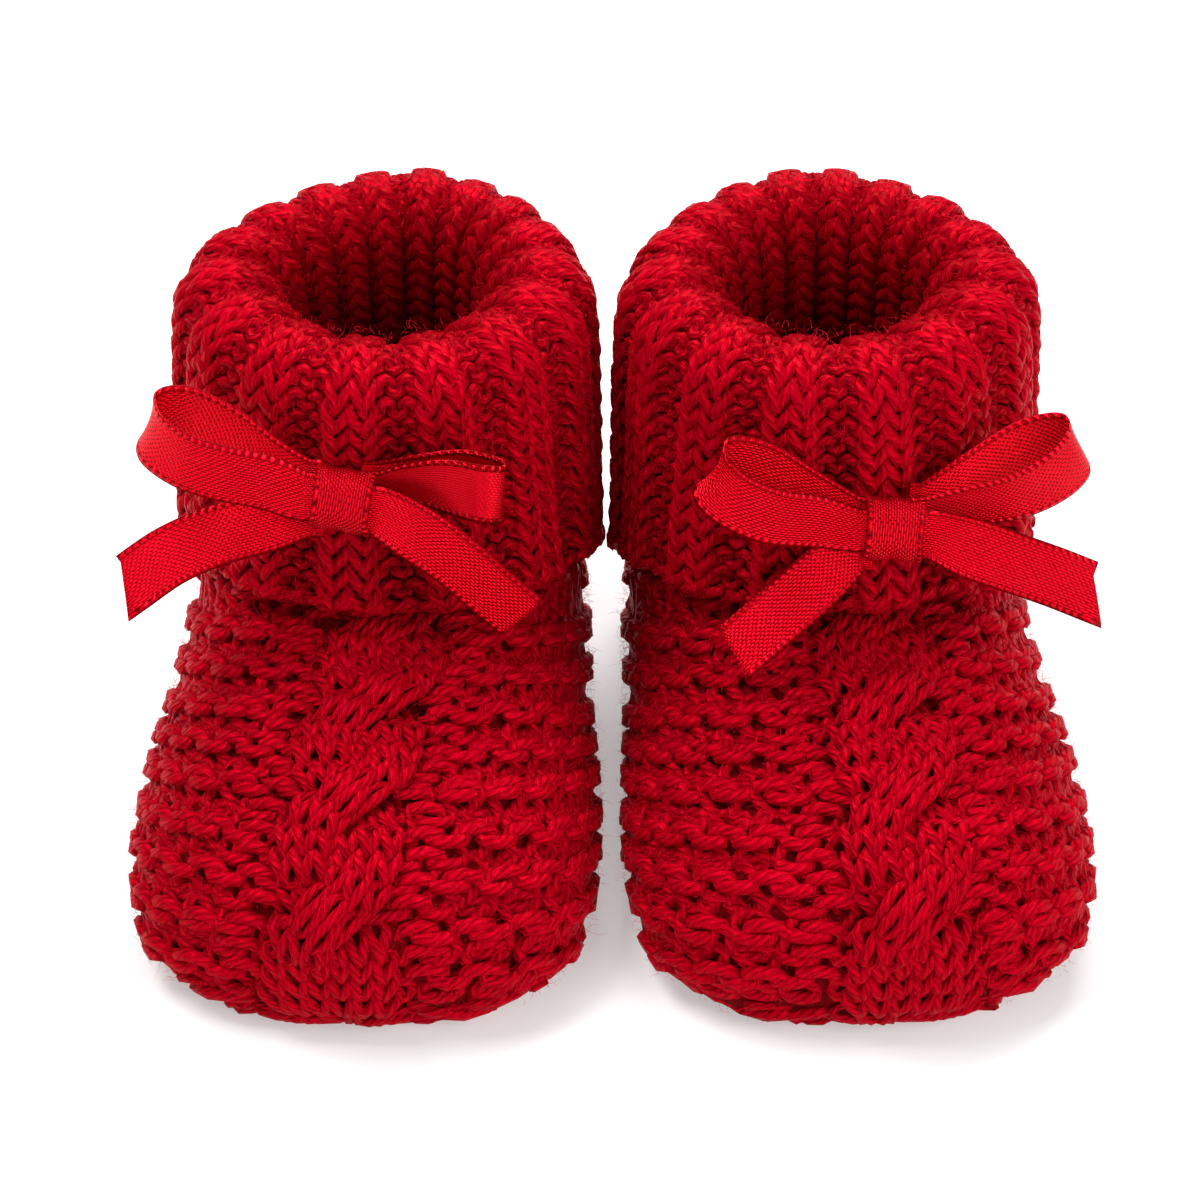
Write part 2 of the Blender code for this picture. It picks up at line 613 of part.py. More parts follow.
# ---------------------------------------------------------------- the pair
def make_bootie(side, yarn, ribbon):
    home = bpy.data.objects.new(f"{side}_bootie", None)
    bpy.context.scene.collection.objects.link(home)
    home.location = (ANKLE_X[side] * MM, 0.0, 0.0)
    home.rotation_euler = (0.0, 0.0, math.radians(TOE_OUT[side]))
    pieces = [make_foot(side, yarn[0], home), make_cuff(side, yarn[1], home)]
    centre = knot_centre(side)
    pieces.append(make_knot(side, centre, ribbon[0], home))
    for part, rows in RIBBONS[side].items():
        cut = TAIL_CUTS[side].get(part, 0.0)
        pieces.append(make_ribbon(f"{side}_bow_{part}", rows, cut, centre, ribbon[1], home))
    return home, pieces


def centre_on_origin(homes, pieces):
    """Moves the pair so that the middle of its bounding box is over the origin."""
    bpy.context.view_layer.update()
    corners = []
    for piece in pieces:
        corners += [piece.matrix_world @ vertex.co for vertex in piece.data.vertices]
    corners = np.array(corners)
    middle = (corners.min(axis=0) + corners.max(axis=0)) / 2
    for home in homes:
        home.location.x -= middle[0]
        home.location.y -= middle[1]
    bpy.context.view_layer.update()


def main():
    clear_scene()
    yarn = (
        make_material("foot_knit", YARN_COLOUR, YARN_ROUGHNESS),
        make_material("cuff_knit", YARN_COLOUR, YARN_ROUGHNESS),
    )
    ribbon = (
        make_material("knot_satin", RIBBON_COLOUR, RIBBON_ROUGHNESS),
        make_material("ribbon_satin", RIBBON_COLOUR, RIBBON_ROUGHNESS),
    )
    homes = []
    pieces = []
    for side in ("left", "right"):
        home, made = make_bootie(side, yarn, ribbon)
        homes.append(home)
        pieces += made
    centre_on_origin(homes, pieces)


main()
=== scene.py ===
"""Looks for a pair of knit baby booties: knitted yarn, satin bows, floor, light and camera.

Lengths are in millimetres until a mesh is made. In a bootie's own frame the ankle is over the
origin, the toe points along -Y and the sole is on z = 0. "left" and "right" are the viewer's.
"""

import math

import bpy
import numpy as np
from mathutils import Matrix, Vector
from mathutils.bvhtree import BVHTree


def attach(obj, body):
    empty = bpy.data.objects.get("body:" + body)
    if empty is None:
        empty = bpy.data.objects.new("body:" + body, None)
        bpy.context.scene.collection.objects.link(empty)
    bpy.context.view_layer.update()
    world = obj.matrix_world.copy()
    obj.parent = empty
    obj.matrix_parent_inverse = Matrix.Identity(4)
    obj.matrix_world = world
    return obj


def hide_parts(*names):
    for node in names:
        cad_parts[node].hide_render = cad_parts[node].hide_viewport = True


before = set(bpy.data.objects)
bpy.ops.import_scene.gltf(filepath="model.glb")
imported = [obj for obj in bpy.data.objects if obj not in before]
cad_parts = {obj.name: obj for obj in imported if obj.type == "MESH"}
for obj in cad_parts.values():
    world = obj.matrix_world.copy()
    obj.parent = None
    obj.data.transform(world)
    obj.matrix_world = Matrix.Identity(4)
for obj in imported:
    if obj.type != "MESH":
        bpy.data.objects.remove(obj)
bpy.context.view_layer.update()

# ---------------------------------------------------------------- sizes (mm), as in the solids
MM = 0.001
HOME = {"left": (-28.4431, 23.3294), "right": (26.9569, 23.3294)}
TOE_OUT = {"left": -2.6, "right": 4.4}

FOOT_SECTIONS = (  # top_y, top_z, low_y, low_z, half_width
    (-72.0, 9.6, -72.0, 9.0, 0.3),
    (-71.2, 13.6, -71.4, 4.0, 9.0),
    (-69.0, 17.2, -69.6, 0.2, 16.8),
    (-65.4, 20.6, -66.4, -1.6, 22.6),
    (-60.0, 23.4, -61.4, -2.0, 26.6),
    (-52.0, 26.0, -53.6, -2.0, 28.4),
    (-43.0, 27.8, -44.4, -2.0, 28.6),
    (-35.0, 29.2, -34.6, -2.0, 28.0),
    (-29.2, 30.2, -24.0, -2.0, 27.0),
    (-26.0, 31.4, -11.0, -2.0, 26.2),
    (-24.2, 33.8, 3.0, -2.0, 25.6),
    (-22.2, 36.8, 15.0, -0.8, 24.8),
    (-19.8, 39.4, 21.6, 6.4, 23.0),
    (-17.4, 41.4, 22.6, 17.0, 20.8),
    (-15.3, 42.8, 20.0, 28.0, 18.4),
    (-13.9, 43.7, 15.6, 37.4, 16.4),
    (-13.25, 44.0, 13.25, 44.0, 15.35),
)
FOOT_WALL = 2.6
WIDEST_AT = 0.40           # share of a section's height
SIDE_ROUNDNESS = 0.86      # powers of a section's curve, 1 is an ellipse
SOLE_SQUARENESS = 0.62
ANKLE_ROUND_FROM = 12      # the section from which they turn into ellipses

CABLE_WIDTH = 15.4
CABLE_PERIOD = 14.6        # from one crossing to the next
CABLE_LAST_CROSSING = 9.5  # from the toe's foremost point
CABLE_SHIFT = {"left": (1.8, -2.4), "right": (3.2, 3.8)}
CABLE_SHIFT_AT = (-66.0, -29.0)
CABLE_RISE = 0.6
STRAND_RISE = 1.9
UNDER_SHARE = 0.35         # of that rise, where a strand passes under the other
CABLE_TOE_FADE = (1.0, 7.5)        # the strands start, and sink into the instep, along these
CABLE_TOP_FADE = (40.5, 45.5)

CUFF_WALL = 2.6
CUFF_HALF_WIDTH = 19.5
CUFF_HALF_DEPTH = 17.4
CUFF_ROLL_RADIUS = 6.75
CUFF_ROLL_HEIGHT = 59.4
CUFF_INNER_EDGE = 44.3
CUFF_SIDE_EDGE = 20.5
CUFF_FRONT_RISE = 11.4
CUFF_BACK_DROP = 1.5
CUFF_FRONT_FLARE = 4.6
CUFF_SIDE_FLARE = 0.4
FLARE_POWER = 1.4
CUFF_BACK_SKEW = {"left": 2.6, "right": -0.6}
CUFF_BACK_PINCH = 0.075
LEAN_FROM = 12.0           # height from which the ankle leans
DRAWN_CLEAR = 1.0          # the foot is drawn in under the cuff, clear of its wall and edge
EDGE_CLEAR = 2.2
DRAWN_SLOPE = 0.8
DRAWN_FRONT_SLOPE = 7.0
CUFF_STITCHES = 64
RIB_MIDDLE = {"left": -0.9, "right": 1.6}   # middle of a knit rib, in stitches from the front
RIB_CROWDING = 0.17        # share by which stitches are wider at the front

RIBBON_WIDTH = 7.5
BOW_LEAN = 24.0
KNOT_WIDTH = 7.4
KNOT_HEIGHT = 8.2
KNOT_DEPTH = 5.0
KNOT_SEAT_GAP = {"left": 0.8, "right": 1.0}
RIB_RISE = 0.85
KNOT_TURN = {"left": 8.0, "right": 6.0}
KNOT_PLACE = {"left": (-3.3, 49.1), "right": (5.3, 44.6)}
RIBBONS = {  # right, up, out, spin, pitch, width_share
    "left": {
        "loop_left": (
            (-4.85, 0.7, 1.7, 12.0, 4.0, 0.85),
            (-9.0, 2.4, 2.6, 14.0, 8.0, 0.95),
            (-14.4, 3.8, 3.8, 14.0, 12.0, 1.0),
            (-19.2, 5.4, 4.0, 16.0, 14.0, 1.0),
            (-23.0, 7.6, 2.2, 18.0, 14.0, 1.0),
            (-23.6, 9.4, -0.8, 22.0, 12.0, 1.0),
            (-20.4, 9.8, -2.4, 28.0, 12.0, 1.0),
            (-14.8, 7.8, -1.4, 30.0, 12.0, 1.0),
            (-9.2, 4.4, 0.1, 26.0, 10.0, 0.95),
            (-4.85, 2.1, 0.1, 18.0, 4.0, 0.85),
        ),
        "loop_right": (
            (4.85, 1.8, 0.0, -14.0, 20.0, 0.6),
            (8.6, 2.6, 1.1, -12.0, 20.0, 0.8),
            (13.0, 2.8, 2.8, -8.0, 12.0, 1.0),
            (17.0, 2.2, 3.6, -2.0, 6.0, 1.0),
            (19.5, 1.8, 2.4, 2.0, 6.0, 1.0),
            (19.2, 2.4, 0.5, 0.0, 8.0, 1.0),
            (14.8, 3.2, -0.5, -8.0, 10.0, 1.0),
            (9.2, 2.9, -0.9, -12.0, 10.0, 0.8),
            (4.85, 2.4, -1.7, -14.0, 4.0, 0.6),
        ),
        "tail_left": (
            (-4.85, -2.4, -1.8, -12.0, 0.0, 0.85),
            (-9.8, -3.8, -1.8, -14.0, -4.0, 1.0),
            (-15.4, -5.2, -0.6, -18.0, -8.0, 1.0),
            (-21.0, -7.4, 1.4, -26.0, -8.0, 1.0),
            (-26.6, -11.4, 2.2, -34.0, -8.0, 1.0),
        ),
        "tail_right": (
            (4.85, -1.0, 1.7, 20.0, 0.0, 0.85),
            (9.4, -3.2, 2.8, 28.0, 8.0, 1.0),
            (14.2, -6.8, 2.2, 38.0, 14.0, 1.0),
            (18.2, -10.8, 0.8, 42.0, 16.0, 1.0),
            (22.2, -14.6, -0.6, 42.0, 16.0, 1.0),
        ),
    },
    "right": {
        "loop_left": (
            (-4.85, 0.5, 1.7, 10.0, 5.0, 0.75),
            (-9.4, 2.0, 2.8, 14.0, 8.0, 0.9),
            (-15.0, 3.4, 4.4, 18.0, 12.0, 1.0),
            (-19.8, 5.8, 4.8, 26.0, 14.0, 1.0),
            (-22.2, 8.2, 3.4, 30.0, 14.0, 1.0),
            (-21.0, 9.8, 1.2, 32.0, 14.0, 1.0),
            (-16.4, 8.6, 0.2, 34.0, 14.0, 1.0),
            (-10.6, 5.0, 0.0, 30.0, 10.0, 0.9),
            (-4.85, 1.8, 0.1, 22.0, 4.0, 0.75),
        ),
        "loop_right": (
            (4.85, 1.8, 0.0, -14.0, 20.0, 0.7),
            (9.4, 2.8, 0.8, -14.0, 26.0, 0.85),
            (15.2, 4.0, 2.0, -16.0, 28.0, 1.0),
            (20.0, 6.2, 2.4, -22.0, 24.0, 1.0),
            (22.8, 8.6, 1.0, -24.0, 18.0, 1.0),
            (22.0, 10.2, -1.2, -28.0, 12.0, 1.0),
            (17.2, 9.2, -2.0, -32.0, 12.0, 1.0),
            (10.8, 6.0, -1.4, -30.0, 10.0, 0.9),
            (4.85, 3.0, -1.7, -22.0, 4.0, 0.7),
        ),
        "tail_left": (
            (-4.85, -2.8, -1.8, -24.0, 0.0, 0.85),
            (-9.2, -6.4, -1.4, -36.0, -4.0, 1.0),
            (-14.6, -10.4, 0.0, -42.0, -6.0, 1.0),
            (-20.2, -14.8, 0.4, -44.0, -6.0, 1.0),
        ),
        "tail_right": (
            (4.85, -0.6, 1.7, 8.0, 0.0, 0.85),
            (9.2, -2.2, 2.5, 16.0, -6.0, 1.0),
            (14.6, -4.4, 2.5, 21.0, -10.0, 1.0),
            (19.8, -6.6, 2.3, 22.0, -12.0, 1.0),
            (24.8, -9.0, 1.9, 22.0, -12.0, 1.0),
        ),
    },
}
RIBBON_HALF_WALL = 0.17
UNDER_KNOT = 2.6           # loops and tails run on under the knot by this
KNOT_ROUND = 64            # points round the knot's wrap
TAIL_CUTS = {              # slant of a tail's cut end
    "left": {"tail_left": 2.0, "tail_right": 0.0},
    "right": {"tail_left": 0.9, "tail_right": 2.4},
}

# ---------------------------------------------------------------- the yarn's own sizes
YARN_SIDES = 6
YARN_FLATNESS = 0.88       # its depth for its width
TWICE_ROUND = 4 * math.pi  # an angle that goes twice round in each stitch
RIB_YARN = 0.69            # radius
CABLE_YARN = 0.67
GARTER_YARN = 0.93

# the ribbing; sway and reach are a loop's swings, in stitches and in rounds
RIB_STEPS = 14             # points of yarn for each stitch
OUTER_COURSES = 13         # rounds from the lower edge to just past the crest
FIRST_COURSE = 0.42        # height of the first one's middle, in rounds
COURSES_TO_CREST = 12.4
INNER_COURSES = 10         # and from there down inside
FIRST_INNER_COURSE = 0.9
COURSES_INSIDE = 10.6
PURL_SWAY, KNIT_SWAY = 0.22, 0.36
RIB_REACH = 0.84
RIB_DEPTH = 0.72           # a loop's swing in and out of the cloth
RIB_LIFT = 0.10            # its middle, over the middle of the wall
PURL_LEG, KNIT_LEG = -0.04, 0.12   # a loop's legs are thicker than the yarn by these shares
INSIDE_GIRTH = 1.2         # yarn inside the neck is thicker, one loop for two
RIB_FULLNESS = 0.06        # knit ribs are wider than purl ones by this, in stitches
RIB_FULLNESS_INSIDE = 0.36
RIB_SWELL = 0.85           # height of the knit ribs over the middle
ROUND_RIB = 0.45           # and their share of that over the crest, where they are round
CREST_WIDTH = 0.20         # as a share of the way up to the crest
CREST_SINK = 0.25          # loops lie this much lower over it
CREST_CALM = 0.34          # and swing this much less in and out
OPEN_HEIGHTS = (-1.4, 0.8)     # from the bottom of the ribbing to where its yarn stands free; deeper yarn is painted darker, as shade
FRONT_SAG = 1.3            # the turned-over edge is lower at the front by this
CUFF_UNEVEN = {"sway": 0.015, "stitch": 0.035, "reach": 0.02, "row": 0.09, "height": 0.05}
EDGE_STEPS = 10
EDGE_ROUNDS = ((0.9, 0.35, 0.0), (0.15, -0.5, 0.5))    # height, place outwards, shift along
EDGE_SWINGS = (0.16, 0.55, 0.4)    # along the round, up and outwards

# the foot
STEPS = 12                 # points of yarn for each stitch
COURSE = 3.10              # rounds are this far apart on the instep
GARTER_STITCH = 6.0        # width of a stitch beside the cable
PURL_STITCHES = 1          # on each side of the cable, purled in every round
PANEL_SHARE = 0.30         # largest share of a round that half the cable's panel takes
CABLE_HASTE = 1.25         # how quickly the strands change sides at a crossing
STRAND_SQUEEZE = 0.10      # a strand is narrower by this share at a crossing
STRAND_FULLNESS = 1.25     # height of its crown, as a share of the solid's
STRAND_HALF = 1.5          # stitches
CROWN_HALF = 1.75          # where the crown's curve comes down to nothing
CROSSING_LIFT, CROSSING_SINK = 0.7, 1.6    # of the strand in front and of the one behind
ROW_TURN = 0.6             # share of a strand's own turn by which its rows turn
LOOP_LEAN = 0.75           # and its loops lean by this share of the strand's slope
CABLE_SINK = 0.75          # the cable's yarn lies this deep in its form
GARTER_SINK = 0.55         # and the garter stitches' yarn
PURL_SINK = 0.35           # with the purl stitches beside the cable deeper yet
CABLE_SWAY, GARTER_SWAY = 0.33, 0.25
FOOT_REACH = 0.80
CABLE_DEPTH, GARTER_DEPTH, SIDE_DEPTH, PURL_DEPTH = 0.60, 0.95, 0.60, 0.60
GARTER_LEGS = -0.55        # legs of garter loops lie behind the middle
RIDGE_SLIP = 0.30          # garter ridges are shifted along by up to this, in stitches
CABLE_LEG, GARTER_LEG = 0.14, -0.03
WIDE_PACE, NARROW_PACE = 1.45, 0.66    # rounds are doubled, or left out, past these shares
SOLE_SINK = 1.1            # yarn lies deeper near the sole
LOWEST_YARN = 0.45         # height of its middle
FIRST_ROUND = 1.2          # from the toe's lower tip, up its front
LONGEST_FLOAT = 4.0        # yarn that would span more than this between points is left out
FOOT_UNEVEN = {"sway": 0.015, "stitch": 0.045, "reach": 0.03, "row": 0.16, "height": 0.05}
TOE_TIP = 1.5              # height of the point where the rounds of the foot start
TIP_TO_NOSE = 7.7          # from there up to the foremost point
ROUND_ENDS = (             # run up the toe and instep, and back along the sole, of some rounds
    (0.0, 0.0),
    (2.7, 7.0),
    (7.7, 20.0),
    (16.6, 36.0),
    (27.6, 47.0),
    (36.0, 56.0),
    (45.2, 62.0),
    (53.3, 74.0),
    (62.6, 90.0),
    (70.0, 105.0),
    (74.0, 112.0),
)
HIDDEN_ABOVE = 3.2         # no yarn on the foot from this far above the cuff's lower edge
HIDDEN_MARGIN = 0.5

# the dark shells under the stitches, painted shade in the gaps between them, and the fuzz
CUFF_SHELL = (-1.05, 0.10)     # the dark shell under purl and knit ribs, from the wall's middle
CUFF_SHELL_BACK = -1.6
FOOT_SHELL = (-1.25, -0.15)    # the dark shell beside and under the cable, from the foot's surface
FIBRES = 6000              # on each foot and each cuff
FIBRE_POINTS = 5
FIBRE_HALF_WIDTH = 0.024
FIBRE_LEAST = 0.35         # length
FIBRE_CURLS = (0.6, 2.6)   # radians over its length
CUFF_ROOTS = (0.3, 1.5)    # fibres start at these heights over the form
FOOT_ROOTS = (-0.4, 0.6)
FUZZY_BAND = slice(2, 150)     # rows of the cuff's form that have fibres
FUZZY_FROM = 3.5           # and the foot from this height


# ---------------------------------------------------------------- small helpers
def clear_selection():
    bpy.ops.object.select_all(action="DESELECT")


def read_table(rows, places):
    """Values between a table's rows, on a smooth curve through them (Catmull-Rom)."""
    rows = np.asarray(rows, dtype=float)
    padded = np.vstack((2 * rows[0] - rows[1], rows, 2 * rows[-1] - rows[-2]))
    places = np.clip(np.asarray(places, dtype=float), 0.0, len(rows) - 1.0)
    start = np.minimum(places.astype(int), len(rows) - 2)
    t = (places - start)[:, None]
    before, here, there, after = (padded[start + k] for k in range(4))
    bend = (2 * before - 5 * here + 4 * there - after) * t ** 2
    swing = (3 * here - before - 3 * there + after) * t ** 3
    return here + 0.5 * ((there - before) * t + bend + swing)


def unit(vectors):
    return vectors / np.maximum(np.linalg.norm(vectors, axis=-1, keepdims=True), 1e-9)


def ease(value, start, end):
    share = np.clip((value - start) / (end - start), 0.0, 1.0)
    return share * share * (3.0 - 2.0 * share)


def between(share, first, second):
    return first + (second - first) * share


def full_turn(count):
    return 2.0 * math.pi * np.arange(count) / count


def to_front(turn):
    """1 at the front of the ankle, and 0 from its sides to its back."""
    return np.clip(np.cos(turn), 0.0, 1.0)


def arc_length(points):
    return np.concatenate(([0.0], np.cumsum(np.linalg.norm(np.diff(points, axis=0), axis=1))))


def along_line(line, run, places):
    """Points of a line at places of its running length."""
    return np.stack([np.interp(places, run, line[:, axis]) for axis in range(3)], axis=-1)


def to_world(points, side):
    """Points of a bootie's frame in millimetres, in the pair's frame in metres."""
    angle = math.radians(TOE_OUT[side])
    c, s = math.cos(angle), math.sin(angle)
    x = points[..., 0] * c - points[..., 1] * s + HOME[side][0]
    y = points[..., 0] * s + points[..., 1] * c + HOME[side][1]
    return np.stack((x, y, points[..., 2]), axis=-1) * MM


def signed_power(wave, power):
    return np.sign(wave) * np.abs(wave) ** power


def make_piece(name, points, quads, uv, finish, replaces=(), triangles=()):
    """A smooth mesh object that rides with the pair; uv has a pair for each corner of a quad."""
    groups = [np.asarray(group, dtype=np.int32) for group in (quads, triangles) if len(group)]
    corners = np.concatenate([group.ravel() for group in groups])
    sizes = np.concatenate([np.full(len(group), group.shape[1]) for group in groups])
    starts = (np.cumsum(sizes) - sizes).astype(np.int32)
    mesh = bpy.data.meshes.new(name)
    mesh.vertices.add(len(points))
    mesh.vertices.foreach_set("co", np.ascontiguousarray(points, dtype=np.float32).ravel())
    mesh.loops.add(len(corners))
    mesh.loops.foreach_set("vertex_index", corners)
    mesh.polygons.add(len(starts))
    mesh.polygons.foreach_set("loop_start", starts)
    mesh.update(calc_edges=True)
    mesh.validate()
    if uv is not None:
        layer = mesh.uv_layers.new(name="yarn")
        layer.uv.foreach_set("vector", np.ascontiguousarray(uv, dtype=np.float32).ravel())
    mesh.shade_smooth()
    mesh.materials.append(finish)
    piece = bpy.data.objects.new(name, mesh)
    bpy.context.scene.collection.objects.link(piece)
    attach(piece, "root")
    if replaces:
        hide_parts(*replaces)
    return piece


def face_outward(piece, fill=False):
    """Turns a closed piece's faces outwards; fill closes its open ends first."""
    clear_selection()
    bpy.context.view_layer.objects.active = piece
    piece.select_set(True)
    bpy.ops.object.mode_set(mode="EDIT")
    bpy.ops.mesh.select_all(action="SELECT")
    if fill:
        bpy.ops.mesh.fill_holes(sides=0)
    bpy.ops.mesh.normals_make_consistent(inside=False)
    bpy.ops.object.mode_set(mode="OBJECT")


def grid_quads(rows, columns, wrap_rows, wrap_columns):
    """Quads of a grid of points, row by row; either direction may be closed."""
    row = np.arange(rows if wrap_rows else rows - 1)
    column = np.arange(columns if wrap_columns else columns - 1)
    row, column = np.meshgrid(row, column, indexing="ij")
    next_row = (row + 1) % rows
    next_column = (column + 1) % columns
    quads = np.stack((
        row * columns + column,
        row * columns + next_column,
        next_row * columns + next_column,
        next_row * columns + column,
    ), axis=-1)
    return quads.reshape(-1, 4)


def grid_uv(along, across):
    """Texture places for the corners of a grid's quads, from their values along and across it."""
    row, column = np.meshgrid(np.arange(len(along) - 1), np.arange(len(across) - 1), indexing="ij")
    corners = ((row, column), (row, column + 1), (row + 1, column + 1), (row + 1, column))
    uv = [np.stack((along[there], across[here]), axis=-1) for there, here in corners]
    return np.stack(uv, axis=-2).reshape(-1, 2)


def sample(grid, column, row):
    """Points of a grid between its own, as in a sheet that is closed in its first direction."""
    count, rows = grid.shape[:2]
    column = np.mod(column, count)
    row = np.clip(row, 0.0, rows - 1.001)
    i = column.astype(int) % count
    j = row.astype(int)
    u = (column - np.floor(column))[..., None]
    v = (row - j)[..., None]
    after = (i + 1) % count
    low = grid[i, j] * (1 - u) + grid[after, j] * u
    high = grid[i, j + 1] * (1 - u) + grid[after, j + 1] * u
    return low * (1 - v) + high * v


class Yarn:
    """Collects lengths of yarn as tubes, each with its running length as its first texture value.

    openness is 0 for yarn that lies deep in the knitting and 1 for yarn that stands out of it; a
    material can paint the deep yarn darker with it, as shade.
    """

    def __init__(self):
        self.points = []
        self.quads = []
        self.uv = []
        self.openness = []
        self.count = 0

    def lay(self, path, normals, radius, closed, openness=1.0, floor=None):
        steps = len(path)
        if closed:
            along = unit(np.roll(path, -1, axis=0) - np.roll(path, 1, axis=0))
        else:
            along = unit(np.gradient(path, axis=0))
        across = unit(np.cross(along, normals))
        out = np.cross(across, along)
        angle = full_turn(YARN_SIDES)
        ring = (across[:, None, :] * np.cos(angle)[None, :, None]
                + out[:, None, :] * np.sin(angle)[None, :, None] * YARN_FLATNESS)
        radius = np.array(np.broadcast_to(radius, (steps,)), dtype=float)
        if not closed:
            radius[[0, -1]] *= 0.4
            radius[[1, -2]] *= 0.85
        points = path[:, None, :] + ring * radius[:, None, None]
        if floor is not None:
            points[..., 2] = np.maximum(points[..., 2], floor)
        quads = grid_quads(steps, YARN_SIDES, closed, True)
        run = arc_length(np.vstack((path, path[:1])) if closed else path)
        uv = grid_uv(run, np.arange(YARN_SIDES + 1) / YARN_SIDES)
        if not closed:
            caps = []
            for start, way in ((0, -1), ((steps - 1) * YARN_SIDES, 1)):
                for corner in range(1, YARN_SIDES - 2, 2):
                    cap = (start, start + corner, start + corner + 1, start + corner + 2)
                    caps.append(cap[::way])
            quads = np.vstack((quads, caps))
            uv = np.vstack((uv, np.zeros((4 * len(caps), 2))))
        self.points.append(points.reshape(-1, 3))
        self.quads.append(quads + self.count)
        self.uv.append(uv)
        self.openness.append(np.repeat(np.broadcast_to(openness, (steps,)), YARN_SIDES))
        self.count += steps * YARN_SIDES

    def finish(self, name, side, finish, slot):
        points = to_world(np.vstack(self.points), side)
        piece = make_piece(name, points, np.vstack(self.quads), np.vstack(self.uv), finish)
        layer = piece.data.attributes.new("openness", "FLOAT", "POINT")
        layer.data.foreach_set("value", np.concatenate(self.openness).astype(np.float32))
        return piece


# ---------------------------------------------------------------- forms of the cuff and foot
RING_SAMPLES = 240         # points of a section or a round, before its girth is shared out evenly
FOOT_PLACES = 181          # places along the foot, and round it, where its form is worked out
FOOT_ROUND = 288
CUFF_PLACES = 181          # and along the cuff's band, and round it
CUFF_ROUND = 384
BAND_SAMPLES = 60          # points of the band's hanging part and of its roll, before that


def back_lean(height):
    """How far the ankle's back leans to one side at a height, 0 to 1."""
    return np.clip((height - LEAN_FROM) / (CUFF_INNER_EDGE - LEAN_FROM), 0.0, 1.0)


def ankle_place(turn, offset, height, side):
    """Place beside the ankle's oval at a turn from the front, moved out by an offset."""
    lean = back_lean(height)
    back = np.maximum(0.0, -np.cos(turn))
    pinch = 1.0 - lean * CUFF_BACK_PINCH * 2.0 * back * np.abs(np.sin(turn))
    x = (CUFF_HALF_WIDTH + offset) * np.sin(turn) * pinch
    y = -(CUFF_HALF_DEPTH + offset) * np.cos(turn) * pinch
    return x + lean * CUFF_BACK_SKEW[side] * back ** 1.5, y


def ankle_offset(x, y):
    """Turn and offset of a place beside the ankle's oval, found by halving."""
    low = np.full_like(x, 1.0 - CUFF_HALF_DEPTH)
    high = np.full_like(x, 80.0)
    for _ in range(30):
        middle = (low + high) / 2
        outside = (x / (CUFF_HALF_WIDTH + middle)) ** 2 + (y / (CUFF_HALF_DEPTH + middle)) ** 2 > 1.0
        low = np.where(outside, middle, low)
        high = np.where(outside, high, middle)
    return np.arctan2(x / (CUFF_HALF_WIDTH + low), -y / (CUFF_HALF_DEPTH + low)), low


def cuff_edge(turn):
    """Height of the cuff's lower edge."""
    back = to_front(turn + math.pi)
    return CUFF_SIDE_EDGE + CUFF_FRONT_RISE * to_front(turn) ** 0.6 - CUFF_BACK_DROP * back


def cuff_flare(turn):
    """How far the cuff's lower edge stands out."""
    return between(to_front(turn) ** 1.5, CUFF_SIDE_FLARE, CUFF_FRONT_FLARE)


def hang_share(turn, height):
    """0 at the roll and 1 at the cuff's lower edge."""
    edge = cuff_edge(turn)
    return np.clip((CUFF_ROLL_HEIGHT - height) / (CUFF_ROLL_HEIGHT - edge), 0.0, 1.0)


def draw_in(points, side):
    """Points of the foot, drawn in where the cuff covers them."""
    x, y, z = points.T
    turn, offset = ankle_offset(x, y)
    room = CUFF_ROLL_RADIUS - CUFF_WALL - DRAWN_CLEAR
    room = room + cuff_flare(turn) * hang_share(turn, z) ** FLARE_POWER
    below = np.maximum(0.0, cuff_edge(turn) - EDGE_CLEAR - z)
    room = room + below * between(to_front(turn) ** 2, DRAWN_SLOPE, DRAWN_FRONT_SLOPE)
    px, py = ankle_place(turn, np.minimum(offset, room), z, side)
    free = (z > 0.5) & (offset > 5.0 - CUFF_HALF_DEPTH)
    moved = points.copy()
    moved[free, 0] = px[free]
    moved[free, 1] = py[free]
    return moved


def foot_ring(place, side):
    """One section of the foot, from its top point round."""
    top_y, top_z, low_y, low_z, half_width = read_table(FOOT_SECTIONS, [place])[0]
    turn = full_turn(RING_SAMPLES)
    rise = np.cos(turn)
    ankle = np.clip((place - ANKLE_ROUND_FROM) / (len(FOOT_SECTIONS) - 1 - ANKLE_ROUND_FROM), 0, 1)
    widest = between(ankle, WIDEST_AT, 0.5)
    side_power = between(ankle, SIDE_ROUNDNESS, 1.0)
    sole_power = between(ankle, SOLE_SQUARENESS, 1.0)
    x = half_width * signed_power(np.sin(turn), side_power)
    upper = between(np.abs(rise), widest, 1.0)
    lower = between(np.abs(rise) ** sole_power, widest, 0.0)
    share = np.where(rise >= 0.0, upper, lower)
    y = between(share, low_y, top_y)
    z = between(share, low_z, top_z)
    return draw_in(np.stack((x, y, np.maximum(z, 0.0)), axis=1), side)


def foot_form(side):
    """Points and normals of the foot's surface.

    The grid's columns run round the foot by even shares of its girth, from the top point, and
    its rows run from the toe to the ankle.
    """
    places = np.linspace(0.05, len(FOOT_SECTIONS) - 1.0, FOOT_PLACES)
    grid = np.array([even_ring(foot_ring(place, side)) for place in places])
    return {"points": grid.transpose(1, 0, 2), "normals": grid_normals(grid).transpose(1, 0, 2)}


def even_ring(ring):
    """A closed ring's points again, at even steps of its girth."""
    closed = np.vstack((ring, ring[:1]))
    run = arc_length(closed)
    return along_line(closed, run, np.arange(FOOT_ROUND) / FOOT_ROUND * run[-1])


def grid_normals(grid):
    around = np.roll(grid, -1, axis=1) - np.roll(grid, 1, axis=1)
    return unit(np.cross(around, np.gradient(grid, axis=0)))


